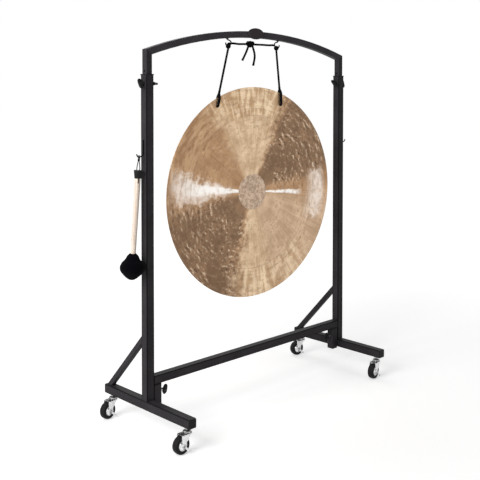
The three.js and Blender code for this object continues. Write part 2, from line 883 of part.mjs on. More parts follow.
function topRun() {
  const halfRun = (sign) => {
    const start = cordSeatX(sign) - sign * (cord / 2 + cord_clearance);
    const belly = sign * gong_hook_belly_x;
    const points = [
      [start, run_side, run_perch],
      [belly, run_side, run_z],
      [belly - sign * 2 * cord, run_side / 2, run_z],
      [(belly + knot_x) / 2, 0, run_z - cord / 2],
      [knot_x, 0, run_z],
    ];
    return roundAlong(points, cord, run_steps);
  };
  const wrap = (offset, tilt) => {
    const ring = new THREE.TorusGeometry(knot_radius, knot_tube, cord_sides, small_round_sides);
    return placed(ring, [knot_x + offset, 0, run_z], [0, quarter_turn + tilt, 0]);
  };
  const tail = (shares) => {
    const points = shares.map(([across, forward, down]) => [
      knot_x - across * knot_spread,
      -forward * cord,
      run_z - down * cord,
    ]);
    return roundAlong(points, cord, tail_steps);
  };
  const core = roundBar(knot_radius, 2 * knot_spread, 'x', [knot_x, 0, run_z], small_round_sides);
  return join(
    halfRun(-1),
    halfRun(1),
    core,
    wrap(-knot_spread, -knot_tilt),
    wrap(0, 0),
    wrap(knot_spread, knot_tilt),
    tail(left_tail_shares),
    tail(right_tail_shares),
  );
}

add('gong_cord_run', topRun(), black_cord);

// Mallet, hung by its cord loop on the left hook and leaning on the post

const mallet_sleeve_top = -mallet_drop;
const mallet_holder = new THREE.Group();
mallet_holder.position.set(-mallet_seat_x, 0, mallet_hook_seat);
mallet_holder.rotation.set(mallet_lean_back, mallet_lean, 0);
group.add(mallet_holder);

const stick_holder = new THREE.Group();
stick_holder.position.set(0, 0, mallet_sleeve_top);
mallet_holder.add(stick_holder);

function malletSleeve() {
  const bore = handle_top_radius + seat_gap;
  const profile = [
    [0, 0],
    [sleeve_top_radius - sleeve_cap / 2, 0],
    [sleeve_top_radius, -sleeve_cap / 2],
    [sleeve_bottom_radius, -sleeve_length],
    [bore, -sleeve_length],
    [bore, -sleeve_cap],
    [0, -sleeve_cap],
  ];
  return turned(profile.reverse(), round_sides);
}

function malletHandle() {
  const top = -sleeve_cap - seat_gap;
  const bottom = -(mallet_length - head_length + handle_in_head);
  const edge = sleeve_cap / 2;
  const profile = [
    [0, bottom],
    [handle_bottom_radius, bottom],
    [handle_top_radius, top - edge],
    [handle_top_radius - edge, top],
    [0, top],
  ];
  return turned(profile, round_sides);
}

function malletHead() {
  const top = -(mallet_length - head_length);
  const profile = [[0, top - handle_in_head - seat_gap]];
  const bore = handle_top_radius + seat_gap;
  profile.push([bore, top - handle_in_head - seat_gap], [bore, top]);
  const along = head_outline_shares.map(
    ([across, down]) => new THREE.Vector2(head_radius * across, top - head_length * down),
  );
  const outline = new THREE.SplineCurve(along);
  for (const { x, y } of outline.getPoints(head_rings)) {
    profile.push([x, y]);
  }
  profile.push([0, top - head_length]);
  return turned(profile.reverse(), round_sides);
}

function malletLoop() {
  const ring_radius = mallet_wire / 2 + cord_ring_clearance + mallet_cord / 2;
  const ring = new THREE.TorusGeometry(ring_radius, mallet_cord / 2, cord_sides, small_round_sides);
  const knot = new THREE.SphereGeometry(mallet_knot_radius, small_round_sides, cord_sides);
  const knot_z = -mallet_knot_drop;
  const foot_z = mallet_sleeve_top + seat_gap;
  const strand = (y_sign) =>
    roundAlong(
      [
        [0, 0, knot_z],
        [0, (y_sign * strand_spread) / 2, knot_z - mallet_knot_drop],
        [0, y_sign * strand_spread, foot_z + mallet_knot_drop],
        [0, y_sign * strand_spread, foot_z],
      ],
      mallet_cord,
      tail_steps,
    );
  return join(
    placed(ring, [0, 0, 0], [0, quarter_turn, 0]),
    knot.translate(0, 0, knot_z),
    strand(1),
    strand(-1),
  );
}

add('mallet_loop', malletLoop(), black_cord, mallet_holder);
add('mallet_sleeve', malletSleeve(), black_plastic, stick_holder);
add('mallet_handle', malletHandle(), pale_wood, stick_holder);
add('mallet_head', malletHead(), black_fleece, stick_holder);

// Casters, drawn with the stem on the origin, the axle along Y and the wheel trailing to -X

const axle_at = [-caster_trail, 0, wheel_radius];
const fork_inner = wheel_width / 2 + fork_gap;
const fork_outer = fork_inner + fork_plate;
const crown_top = crown_bottom + crown_thickness;
const race_top = crown_top + race_height;

function casterTyre() {
  const half = wheel_width / 2;
  const wall = half - tyre_side_step;
  const profile = [
    [tyre_bore_radius, -wall],
    [wheel_radius - 2 * tyre_shoulder, -wall],
    [wheel_radius - tyre_shoulder, -half],
    [wheel_radius - tyre_side_step / 2, tyre_shoulder - half],
    [wheel_radius, 0],
    [wheel_radius - tyre_side_step / 2, half - tyre_shoulder],
    [wheel_radius - tyre_shoulder, half],
    [wheel_radius - 2 * tyre_shoulder, wall],
    [tyre_bore_radius, wall],
    [tyre_bore_radius, -wall],
  ];
  return placed(turned(profile, wheel_sides), axle_at, [quarter_turn, 0, 0]);
}

function casterHub() {
  const half = wheel_width / 2;
  const rim = tyre_bore_radius - seat_gap;
  const rim_half = half - tyre_side_step;
  const face_half = rim_half - hub_face_depth;
  const bore = axle_radius + hole_clearance;
  const boss_half = half + fork_gap - seat_gap;
  const profile = [
    [bore, -boss_half],
    [hub_boss_radius, -boss_half],
    [hub_boss_radius, -face_half],
    [hub_face_radius, -face_half],
    [rim, -rim_half],
    [rim, rim_half],
    [hub_face_radius, face_half],
    [hub_boss_radius, face_half],
    [hub_boss_radius, boss_half],
    [bore, boss_half],
    [bore, -boss_half],
  ];
  return placed(turned(profile, round_sides), axle_at, [quarter_turn, 0, 0]);
}

function casterFork() {
  const legOutline = () => {
    const outline = new THREE.Shape();
    outline.moveTo(fork_leg_front, crown_top);
    outline.lineTo(fork_leg_back, crown_top);
    outline.lineTo(-caster_trail - fork_eye_radius, wheel_radius);
    outline.absarc(-caster_trail, wheel_radius, fork_eye_radius, Math.PI, 2 * Math.PI - quarter_turn / 3);
    const front_bottom = crown_bottom - crown_nose_radius;
    outline.quadraticCurveTo(fork_leg_back / 2, wheel_radius, fork_leg_front, front_bottom);
    outline.closePath();
    return outline;
  };
  const leg = extruded(legOutline(), {
    depth: fork_plate,
    curveSegments: cord_sides,
  });
  const crown_outline = new THREE.Shape();
  crown_outline.moveTo(0, -fork_outer);
  crown_outline.absarc(0, 0, fork_outer, -quarter_turn, quarter_turn);
  crown_outline.lineTo(-crown_tail + crown_tail_chamfer, fork_outer);
  crown_outline.lineTo(-crown_tail, fork_outer - crown_tail_chamfer);
  crown_outline.lineTo(-crown_tail, -fork_outer + crown_tail_chamfer);
  crown_outline.lineTo(-crown_tail + crown_tail_chamfer, -fork_outer);
  crown_outline.closePath();
  const crown = extruded(crown_outline, {
    depth: crown_thickness,
    curveSegments: cord_sides,
  });
  const race = roundBar(race_radius, race_height + crown_thickness, 'z', [0, 0, 0]);
  const bore = roundBar(kingpin_radius + hole_clearance, tube, 'z', [0, 0, crown_top], small_round_sides);
  const eye = roundBar(axle_radius + hole_clearance, 2 * tube, 'y', axle_at, small_round_sides);
  const body = join(
    placed(leg, [0, -fork_inner, 0], [quarter_turn, 0, 0]),
    placed(leg, [0, fork_outer, 0], [quarter_turn, 0, 0]),
    crown.translate(0, 0, crown_bottom),
    race.translate(0, 0, (crown_bottom + race_top) / 2),
  );
  return cut(body, bore, eye);
}

function casterAxle() {
  const head_start = fork_outer + seat_gap + brake_plate + seat_gap;
  const nut_start = fork_outer + seat_gap;
  const length = head_start + nut_start;
  const pin = roundBar(axle_radius, length, 'y', [0, (nut_start - head_start) / 2, 0], small_round_sides);
  const hex_radius = axle_head_across / Math.sqrt(3);
  const hex = (y) => roundBar(hex_radius, axle_head_length, 'y', [0, y, 0], hex_sides);
  const bolt = join(
    pin,
    hex(-head_start - axle_head_length / 2),
    hex(nut_start + axle_head_length / 2),
  );
  return placed(bolt, axle_at);
}

function casterStem() {
  const under_cap = race_top + seat_gap;
  const cap_top = under_cap + race_cap_height;
  const neck_base = cap_top + race_dome_height;
  const head_top = crown_bottom - seat_gap;
  const nut_top = foot_height - seat_gap;
  const profile = [
    [0, head_top - kingpin_head_height],
    [kingpin_head_radius, head_top - kingpin_head_height],
    [kingpin_head_radius, head_top],
    [kingpin_radius, head_top],
    [kingpin_radius, under_cap],
    [race_cap_radius, under_cap],
    [race_cap_radius, cap_top],
    [neck_radius, neck_base],
    [neck_radius, nut_top - stem_nut_height],
    [kingpin_radius, nut_top - stem_nut_height],
    [kingpin_radius, foot_height + stem_thread_length],
    [0, foot_height + stem_thread_length],
  ];
  const nut_radius = stem_nut_across / Math.sqrt(3);
  const nut_middle = nut_top - stem_nut_height / 2;
  const nut = roundBar(nut_radius, stem_nut_height, 'z', [0, 0, nut_middle], hex_sides);
  return join(turned(profile, round_sides), nut);
}

// Side brake lever on the axle, hanging down toward the front of the wheel
function casterBrake() {
  const outline = new THREE.Shape();
  const half = brake_width / 2;
  outline.absarc(0, 0, brake_eye_radius, quarter_turn / 2, 2 * Math.PI - quarter_turn / 2);
  outline.lineTo(brake_length - half, -half);
  outline.lineTo(brake_length, 0);
  outline.lineTo(brake_length - half, half);
  outline.closePath();
  const plate = extruded(outline, {
    depth: brake_plate,
    curveSegments: small_round_sides,
  });
  const tab = block(
    [brake_length - brake_width, brake_length - brake_width + brake_plate],
    [-half, half],
    [0, brake_plate + brake_tab],
  );
  const eye = roundBar(axle_radius + hole_clearance, tube, 'z', [0, 0, 0], small_round_sides);
  const lever = cut(join(plate, tab), eye);
  const upright = placed(lever, [0, 0, 0], [quarter_turn, 0, 0]);
  const drooped = placed(upright, [0, 0, 0], [0, brake_droop, 0]);
  return placed(drooped, [axle_at[0], -fork_outer - seat_gap, axle_at[2]]);
}

function caster(corner, x, y) {
  const holder = new THREE.Group();
  holder.position.set(x, y, 0);
  holder.rotation.set(0, 0, caster_turns[corner] * degree);
  group.add(holder);
  add(`${corner}_caster_stem`, casterStem(), zinc, holder);
  add(`${corner}_caster_fork`, casterFork(), zinc, holder);
  add(`${corner}_caster_axle`, casterAxle(), zinc, holder);
  add(`${corner}_caster_tyre`, casterTyre(), tyre_rubber, holder);
  add(`${corner}_caster_hub`, casterHub(), zinc, holder);
  add(`${corner}_caster_brake`, casterBrake(), zinc, holder);
}

caster('front_left', -post_x, -stem_y);
caster('rear_left', -post_x, stem_y);
caster('front_right', post_x, -stem_y);
caster('rear_right', post_x, stem_y);

export default group;
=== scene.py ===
import math

import bmesh
import bpy
import numpy as np
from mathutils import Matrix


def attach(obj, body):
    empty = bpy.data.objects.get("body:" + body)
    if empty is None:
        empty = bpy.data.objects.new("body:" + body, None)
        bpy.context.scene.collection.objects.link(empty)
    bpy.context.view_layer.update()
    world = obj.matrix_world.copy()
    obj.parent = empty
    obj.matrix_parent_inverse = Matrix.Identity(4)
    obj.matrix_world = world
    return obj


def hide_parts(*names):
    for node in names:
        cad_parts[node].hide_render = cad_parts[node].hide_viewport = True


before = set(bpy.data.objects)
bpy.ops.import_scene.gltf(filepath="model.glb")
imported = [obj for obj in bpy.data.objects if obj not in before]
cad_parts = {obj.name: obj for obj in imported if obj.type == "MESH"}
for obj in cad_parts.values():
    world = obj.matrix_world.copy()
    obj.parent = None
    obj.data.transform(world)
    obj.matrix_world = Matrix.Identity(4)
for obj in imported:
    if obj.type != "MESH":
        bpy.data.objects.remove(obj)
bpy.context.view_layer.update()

# Camera, worked out from the photograph's own straight edges. It looks at the
# stand from the front left, level with the gong, with the frame shifted down.
IMAGE_SIDE = 480
SENSOR = 36.0
FOCAL_PIXELS = 847.3
PRINCIPAL_POINT = (241.79, 108.51)
CAMERA_PLACE = (-2.8962, -2.8945, 1.5267)
CAMERA_YAW = 0.77217
CAMERA_PITCH = 0.03092
CAMERA_ROLL = -0.0006

camera_data = bpy.data.cameras.new("camera")
camera_data.sensor_width = SENSOR
camera_data.lens = FOCAL_PIXELS / IMAGE_SIDE * SENSOR
camera_data.shift_x = (IMAGE_SIDE / 2 - PRINCIPAL_POINT[0]) / IMAGE_SIDE
camera_data.shift_y = (PRINCIPAL_POINT[1] - IMAGE_SIDE / 2) / IMAGE_SIDE
camera_data.clip_end = 100
camera = bpy.data.objects.new("camera", camera_data)
camera.location = CAMERA_PLACE
camera.rotation_euler = (math.pi / 2 - CAMERA_PITCH, CAMERA_ROLL, -CAMERA_YAW)
bpy.context.collection.objects.link(camera)
bpy.context.scene.camera = camera
bpy.context.scene.view_settings.view_transform = "Standard"


# Gong cord: one black laid cord. It hooks over the two wire hooks, runs
# between them with a knot in the middle, and ends in a sleeved loop through
# each of the gong's two holes.
def route_through(points, steps, closed=False):
    """A smooth line through the points: each stretch is the Catmull-Rom cubic of four neighbours."""
    points = np.asarray(points, float)
    if closed:
        padded = np.vstack([points[-1:], points, points[:2]])
        stretches = len(points)
    else:
        padded = np.vstack([2 * points[0] - points[1], points, 2 * points[-1] - points[-2]])
        stretches = len(points) - 1
    place = np.linspace(0, stretches, steps, endpoint=not closed)
    i = np.minimum(place.astype(int), stretches - 1)
    t = (place - i)[:, None]
    before, here, there, after = padded[i], padded[i + 1], padded[i + 2], padded[i + 3]
    return 0.5 * (
        2 * here
        + (there - before) * t
        + (2 * before - 5 * here + 4 * there - after) * t**2
        + (3 * here - before - 3 * there + after) * t**3
    )


def grid_faces(rows, columns, wrap_rows=False, wrap_columns=True, caps=False):
    """Quads between the points of a grid, wrapped round where asked, with a face to close each end row."""
    r = np.arange(rows if wrap_rows else rows - 1)[:, None] * columns
    c = np.arange(columns if wrap_columns else columns - 1)[None, :]
    across, on = (c + 1) % columns, (r + columns) % (rows * columns)
    quads = np.stack([r + c, r + across, on + across, on + c], -1)
    faces = quads.reshape(-1, 4).tolist()
    if caps:
        faces.append(list(range(columns))[::-1])
        faces.append([(rows - 1) * columns + k for k in range(columns)])
    return faces


def carried(route, radius, sides, side_way, lobes=0, lobe_depth=0.0, lay=0.01, closed=False):
    """A round section carried along the route: centre + r * (cos angle * normal + sin angle * second).
    The radius swells in a few lobes that wind round once per lay, as the strands of a laid cord do."""
    tangent = np.roll(route, -1, 0) - np.roll(route, 1, 0) if closed else np.gradient(route, axis=0)
    tangent /= np.linalg.norm(tangent, axis=1)[:, None]
    normal = np.cross(tangent, side_way)
    normal /= np.linalg.norm(normal, axis=1)[:, None]
    second = np.cross(tangent, normal)
    way = np.concatenate([[0], np.cumsum(np.linalg.norm(np.diff(route, axis=0), axis=1))])
    angle = np.linspace(0, 2 * np.pi, sides, endpoint=False)
    r = np.broadcast_to(np.asarray(radius, float), (len(route),))[:, None]
    if lobes:
        swell = np.abs(np.cos(lobes * angle / 2 - np.pi * way[:, None] / lay))
        r = r * (1 - lobe_depth + lobe_depth * swell)
    points = (
        route[:, None, :]
        + (r * np.cos(angle))[..., None] * normal[:, None, :]
        + (r * np.sin(angle))[..., None] * second[:, None, :]
    )
    return points.reshape(-1, 3), grid_faces(len(route), sides, wrap_rows=closed, caps=not closed)


def build_piece(name, parts, body, replaced, smooth_angle=35):
    """One mesh object at the origin from (points, faces) shells, with doubles merged and normals out."""
    faces, start = [], 0
    for part_points, part_faces in parts:
        faces += [[start + k for k in face] for face in part_faces]
        start += len(part_points)
    mesh = bpy.data.meshes.new(name)
    mesh.from_pydata(np.vstack([points for points, _ in parts]).tolist(), [], faces)
    shell = bmesh.new()
    shell.from_mesh(mesh)
    bmesh.ops.remove_doubles(shell, verts=shell.verts, dist=1e-6)
    bmesh.ops.recalc_face_normals(shell, faces=shell.faces)
    shell.to_mesh(mesh)
    shell.free()
    mesh.polygons.foreach_set("use_smooth", [True] * len(mesh.polygons))
    mesh.set_sharp_from_angle(angle=math.radians(smooth_angle))
    piece = bpy.data.objects.new(name, mesh)
    bpy.context.collection.objects.link(piece)
    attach(piece, body)
    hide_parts(*replaced)
    return piece


class Number:
    """A number in a shader that takes part in Python expressions: each operator adds its Math node."""

    def __init__(self, finish, socket):
        self.finish, self.socket = finish, socket

    def math(self, operation, *others, swapped=False):
        terms = [*others, self] if swapped else [self, *others]
        return self.finish.node("ShaderNodeMath", {"operation": operation}, dict(enumerate(terms)))

    def __add__(self, other):
        return self.math("ADD", other)

    def __sub__(self, other):
        return self.math("SUBTRACT", other)

    def __rsub__(self, other):
        return self.math("SUBTRACT", other, swapped=True)

    def __mul__(self, other):
        return self.math("MULTIPLY", other)

    def __pow__(self, other):
        return self.math("POWER", other)

    def __abs__(self):
        return self.math("ABSOLUTE")

    __radd__, __rmul__ = __add__, __mul__


class Finish:
    """A material, or the world, with one shader. Every other node comes from node()."""

    def __init__(self, name, kept_in=bpy.data.materials, shader="Principled BSDF", **steady):
        self.owner = kept_in.new(name)
        self.owner.use_nodes = True
        self.tree = self.owner.node_tree
        self.shader = self.tree.nodes[shader]
        for socket, value in steady.items():
            self.set(socket.replace("_", " "), value)

    def plug(self, socket, value):
        """Link a number, or set a value. A colour gets its alpha of 1 here."""
        if isinstance(value, Number):
            self.tree.links.new(value.socket, socket)
        elif socket.type == "RGBA":
            socket.default_value = (*value, 1)
        else:
            socket.default_value = value

    def node(self, kind, settings=None, sockets=None, output=0):
        made = self.tree.nodes.new(kind)
        for key, value in (settings or {}).items():
            setattr(made, key, value)
        for key, value in (sockets or {}).items():
            self.plug(made.inputs[key], value)
        return Number(self, made.outputs[output])

    def place(self, stretch=(1, 1, 1)):
        """Object coordinates, stretched by a Mapping node."""
        here = self.node("ShaderNodeTexCoord", output=3)
        return self.node("ShaderNodeMapping", {}, {0: here, 3: stretch})

    def axes(self, at=None):
        """The three numbers of a place, of the object's own coordinates where none is given."""
        split = self.node("ShaderNodeSeparateXYZ", {}, {0: at or self.place()})
        return [Number(self, split.socket.node.outputs[k]) for k in range(3)]

    def noise(self, scale, detail=3.0, roughness=0.55, at=None):
        at = at or self.place()
        sockets = {"Vector": at, "Scale": scale, "Detail": detail, "Roughness": roughness}
        return self.node("ShaderNodeTexNoise", {}, sockets)

    def mix(self, factor, first, second):
        """A colour between two colours."""
        return self.node("ShaderNodeMix", {"data_type": "RGBA"}, {0: factor, 6: first, 7: second}, output=2)

    def span(self, value, low, high, to_low=0.0, to_high=1.0):
        """A smooth step of a value from low to high, carried to a range of its own."""
        sockets = dict(enumerate([value, low, high, to_low, to_high]))
        return self.node("ShaderNodeMapRange", {"interpolation_type": "SMOOTHSTEP"}, sockets)

    def mottle(self, cloud, low, high, smooth, rough):
        """Colour and roughness that follow one cloud."""
        self.set("Base Color", self.mix(cloud, low, high))
        self.set("Roughness", self.span(cloud, 0.3, 0.7, smooth, rough))

    def bump(self, height, distance, strength=1.0):
        sockets = {"Height": height, "Distance": distance, "Strength": strength}
        self.set("Normal", self.node("ShaderNodeBump", {}, sockets))

    def set(self, socket, value):
        self.plug(self.shader.inputs[socket], value)

    def seen(self):
        """1 for a ray from the camera, off a shiny surface or through a clear one, and 0 for light."""
        kinds = ("Is Camera Ray", "Is Glossy Ray", "Is Transmission Ray")
        straight, glossy, clear = [self.node("ShaderNodeLightPath", output=kind) for kind in kinds]
        return straight.math("MAXIMUM", glossy).math("MAXIMUM", clear)


def paint(finish, *pieces):
    for piece in pieces:
        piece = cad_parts[piece] if isinstance(piece, str) else piece
        piece.data.materials.clear()
        piece.data.materials.append(finish.owner)


GONG_HEIGHT = 0.996
GONG_TURN = math.radians(-4.9)
GONG_RADIUS = 0.508
GONG_DISH = 0.009
GONG_THICKNESS = 0.003
HOLE_RISE = GONG_RADIUS - 0.091
HOLE_SHIFT = -0.022
HOLE_SPREAD = 0.39 * GONG_RADIUS
HOLE_RADIUS = 0.0075
HOOK_WIRE = 0.006
HOOK_SEAT_X = 0.166
HOOK_SEAT_Z = 1.69614
HOOK_BELLY_X = 0.1495
CORD = 0.009
CORD_SLEEVE = 0.012
CORD_SEATS = {"left": -0.166, "right": 0.161}
CORD_CLEARANCE = 0.0012
CORD_LAY = 0.013
CORD_STRANDS = 3
SEAT_GAP = 0.0003
SIDES = {"left": -1, "right": 1}


def spun(across, up, angle):
    """Two of a point's numbers, turned by an angle from the first way toward the second."""
    c, s = math.cos(angle), math.sin(angle)
    return across * c - up * s, across * s + up * c


def on_gong(x, y, z):
    """A point of the gong's own plane, turned about the upright and lifted to its height."""
    return (*spun(x, y, GONG_TURN), GONG_HEIGHT + z)


def gong_face(radius):
    return GONG_DISH * (1 - (np.minimum(radius, GONG_RADIUS) / GONG_RADIUS) ** 2)


def cord_along(route, radius, side_way, depth=0.14, lay=CORD_LAY, sides=14, closed=False):
    """Cord laid up of three strands, whose grooves are the given share of the radius deep."""
    return carried(route, radius, sides, side_way, CORD_STRANDS, depth, lay, closed)


laid_cord = Finish("laid_black_cord", Specular_IOR_Level=0.04)
fibre = laid_cord.noise(900, 2, at=laid_cord.place(stretch=(1, 1, 0.35)))
laid_cord.mottle(fibre, (0.0015, 0.0015, 0.002), (0.008, 0.0075, 0.0085), 0.8, 0.95)
laid_cord.bump(fibre, 0.0004, 0.6)

HOOK_RING = HOOK_WIRE / 2 + 0.002 + CORD / 2
HITCH_RADIUS = HOOK_WIRE / 2 + CORD * 0.46
HITCH_SHIFT = CORD * 0.44
HITCH_LAY = 2 * np.pi * HITCH_RADIUS / 4
STRAND_SWELL = 1.18
STRAND_RADIUS = CORD / 2 * STRAND_SWELL
WHIPPED_STEPS = 14
LOOP_JOIN = 0.018
BEND_SHARE = math.sqrt(0.5)
full_turn = np.linspace(0, 2 * np.pi, 40, endpoint=False)

for side, sign in SIDES.items():
    hole_x = HOLE_SHIFT + sign * HOLE_SPREAD
    hole_top = HOLE_RISE + HOLE_RADIUS
    stand_off = GONG_THICKNESS / 2 + CORD_SLEEVE / 2 + CORD_CLEARANCE
    turn_low = hole_top - CORD_SLEEVE / 2 - CORD_CLEARANCE
    bend_low = hole_top - (hole_top - turn_low) * BEND_SHARE
    rim_rise = math.sqrt(GONG_RADIUS**2 - hole_x**2)
    join_rise = rim_rise + LOOP_JOIN
    seat_x, seat_rise = CORD_SEATS[side], HOOK_SEAT_Z - GONG_HEIGHT
    lean = (seat_x - hole_x) / (seat_rise - HOLE_RISE)
    middle = float(gong_face(math.hypot(hole_x, HOLE_RISE)))

    def beside(way, z):
        """A point of the loop in front of the gong (-1) or behind it (1), at a height on its face."""
        x = hole_x + lean * (z - HOLE_RISE)
        return on_gong(x, gong_face(math.hypot(x, z)) + way * stand_off, z)

    joint = on_gong(hole_x + lean * (join_rise - HOLE_RISE), middle, join_rise)
    heights = [rim_rise, (rim_rise + hole_top) / 2, hole_top]
    bends = (-BEND_SHARE, bend_low), (0, turn_low), (BEND_SHARE, bend_low)
    loop = [joint, *(beside(-1, z) for z in heights)]
    loop += [on_gong(hole_x, middle + stand_off * share, z) for share, z in bends]
    loop += [beside(1, z) for z in heights[::-1]]
    strand = route_through([(seat_x, 0, HOOK_SEAT_Z - HOOK_RING), joint], 190)
    loop_line = route_through(loop, 150, closed=True)
    cord_parts = [
        carried(loop_line, CORD_SLEEVE / 2, 16, (1, 0, 0), 4, 0.1, CORD_LAY, closed=True),
        cord_along(strand, STRAND_RADIUS, (0, 1, 0)),
        carried(strand[-WHIPPED_STEPS:], CORD_SLEEVE / 2, 14, (0, 1, 0), 12, 0.08, 0.5),
    ]
    for shift in (-HITCH_SHIFT, HITCH_SHIFT):
        ring = [0 * full_turn, HITCH_RADIUS * np.cos(full_turn), HITCH_RADIUS * np.sin(full_turn)]
        ring = np.stack(ring, 1) + (seat_x + shift, 0, HOOK_SEAT_Z)
        cord_parts.append(cord_along(ring, CORD / 2, (1, 0, 0), 0.2, HITCH_LAY, closed=True))
    names = [f"{side}_gong_cord"]
    paint(laid_cord, build_piece(f"{side}_gong_cord_laid", cord_parts, "gong", names))

KNOT_X = -0.021
KNOT_SPREAD = 0.0105
KNOT_RADIUS = 0.0108
KNOT_TILT = math.radians(24)
RUN_SIDE = HOOK_WIRE / 2 + CORD / 2 + CORD_CLEARANCE
RUN_Z = HOOK_SEAT_Z + HOOK_WIRE / 2 + CORD / 2 + HOOK_WIRE
RUN_PERCH = HOOK_SEAT_Z + HOOK_WIRE / 2 + CORD
RUN_STEPS = 130
RUN_WAVE = 0.0007


def cord_run(side):
    """The cord's route from beside one hook to the knot, in slight waves as a slack laid cord has."""
    sign = SIDES[side]
    belly = sign * HOOK_BELLY_X
    route = route_through(
        [
            (CORD_SEATS[side] - sign * (CORD / 2 + CORD_CLEARANCE), RUN_SIDE, RUN_PERCH),
            (belly, RUN_SIDE, RUN_Z),
            (belly - sign * 2 * CORD, RUN_SIDE / 2, RUN_Z),
            ((belly + KNOT_X) / 2, 0, RUN_Z - CORD / 8),
            (KNOT_X, 0, RUN_Z),
        ],
        RUN_STEPS,
    )
    share = np.linspace(0, 1, len(route))
    route[:, 2] += RUN_WAVE * np.sin(share * 17 + sign) * np.sin(share * np.pi)
    return route


def knot_wrap(offset, tilt, radius):
    """A turn of cord round the run, tilted so that neighbouring turns cross."""
    along = offset + radius * np.cos(full_turn) * math.sin(tilt)
    up = radius * np.cos(full_turn) * math.cos(tilt)
    return np.stack([KNOT_X + along, radius * np.sin(full_turn), RUN_Z + up], 1)


# Each tail's points: the shares across, in tail spreads, and forward and down, in cord widths.
TAIL_SPREAD = 0.009
TAIL_SHARES = {
    "left": [(1, 0, 0), (2, 0.4, 1.6), (4, 0.8, 4.7), (6.6, 0.8, 8.7)],
    "right": [(-1, 0, 0), (-1.6, 0.4, 1.6), (-2.6, 0.8, 6.2), (-1.5, 0.8, 11.4)],
}
KNOT_TURNS = [(-1, -1, 1), (0, 0, 1.05), (1, 1, 1), (-0.45, 0.9, 0.62), (0.45, -0.9, 0.62)]
KNOT_LAY = CORD_LAY / 1.5
slack_share = np.clip(np.linspace(-0.8, 7, RUN_STEPS), 0, 1)
run_radius = CORD / 2 * (1 + (STRAND_SWELL - 1) * slack_share)
run_parts = [cord_along(cord_run(side), run_radius, (0, 0, 1), 0.2) for side in SIDES]
for shares in TAIL_SHARES.values():
    across, forward, down = np.transpose(shares)
    tail = [KNOT_X - across * TAIL_SPREAD, -forward * CORD, RUN_Z - down * CORD]
    tail = route_through(np.stack(tail, 1), 80)
    flare = 1 + 0.12 * np.clip(np.linspace(-9, 1, len(tail)), 0, 1)
    run_parts.append(cord_along(tail, STRAND_RADIUS * flare, (0, 1, 0), 0.16))
for spread, tilt, swell in KNOT_TURNS:
    turn = knot_wrap(spread * KNOT_SPREAD, tilt * KNOT_TILT, swell * KNOT_RADIUS)
    run_parts.append(cord_along(turn, STRAND_RADIUS, (1, 0.2, 0), 0.16, KNOT_LAY, closed=True))
paint(laid_cord, build_piece("gong_cord_run_laid", run_parts, "arch", ["gong_cord_run"]))


# Mallet loop: a thinner cord of the same kind, tied round the hook's wire, with
# its two strands sewn into the top of the mallet's sleeve.
MALLET_HOOK_X = -0.690
MALLET_HOOK_Z = 1.207
MALLET_HOOK_WIRE = 0.005
MALLET_LEAN = math.radians(3.55)
MALLET_LEAN_BACK = math.radians(1.4)
MALLET_CORD = 0.0036
MALLET_STRAND = MALLET_CORD * 0.58
MALLET_LAY = 0.006
MALLET_SIDES = 10
WRAP_RADIUS = 0.0034
MALLET_DROP = 0.056
STRAND_SPREAD = 0.010


def on_mallet(points):
    """Points drawn hanging plumb from the hook, leaned outward onto the post and a little to the rear."""
    x, y, z = np.moveaxis(np.asarray(points, float), -1, 0)
    z, x = spun(z, x, MALLET_LEAN)
    y, z = spun(y, z, MALLET_LEAN_BACK)
    return np.stack([x + MALLET_HOOK_X, y, z + MALLET_HOOK_Z], -1)


loop_radius = MALLET_HOOK_WIRE / 2 + 0.002 + MALLET_CORD / 2
around = [0 * full_turn, loop_radius * np.cos(full_turn), loop_radius * np.sin(full_turn)]
hook_turn = on_mallet(np.stack(around, 1))
mallet_cord = {"lay": MALLET_LAY, "sides": MALLET_SIDES}
loop_parts = [cord_along(hook_turn, MALLET_STRAND, (1, 0, 0), **mallet_cord, closed=True)]
for way in (-1, 1):
    strand = on_mallet(
        [
            (0, 0, -0.011),
            (0, way * STRAND_SPREAD / 2, -0.022),
            (0, way * STRAND_SPREAD, 0.011 - MALLET_DROP),
            (0, way * STRAND_SPREAD, SEAT_GAP - MALLET_DROP),
        ]
    )
    loop_parts.append(cord_along(route_through(strand, 60), MALLET_STRAND, (1, 0, 0), **mallet_cord))
for height, tilt in ((-0.009, 0.5), (-0.0115, -0.4), (-0.014, 0.3)):
    across, along = WRAP_RADIUS * np.cos(full_turn), WRAP_RADIUS * np.sin(full_turn)
    wrap = on_mallet(np.stack([across, along, height + across * tilt], 1))
    loop_parts.append(cord_along(wrap, MALLET_STRAND, (0, 0, 1), 0.12, **mallet_cord, closed=True))
cord_end = [(-0.0058, -0.0115, -0.088), (-0.0064, -0.0131, -0.096)]
cord_end += [(-0.0068, -0.0138, -0.104), (-0.0064, -0.0134, -0.111)]
cord_end = route_through(on_mallet(cord_end), 30)
loop_parts.append(cord_along(cord_end, MALLET_STRAND, (1, 0, 0), **mallet_cord))
paint(laid_cord, build_piece("mallet_loop_laid", loop_parts, "mallet", ["mallet_loop"]))


# Base frame and arch: square steel tube, welded and then coated with a
# semi-gloss black powder that shows a faint orange peel. Painted shade darkens
# the rounded edges of the posts, feet and crossbar, and each part's copy of the
# coat is made lighter or darker as painted light.
POST_X = 0.645
TUBE = 0.040
CROSSBAR_TUBE = 0.038
FOOT_MIDDLE = 0.126
CROSSBAR_MIDDLE = 0.230
POWDER_LOW = (0.0285, 0.0260, 0.0285)
POWDER_HIGH = (0.0420, 0.0385, 0.0420)


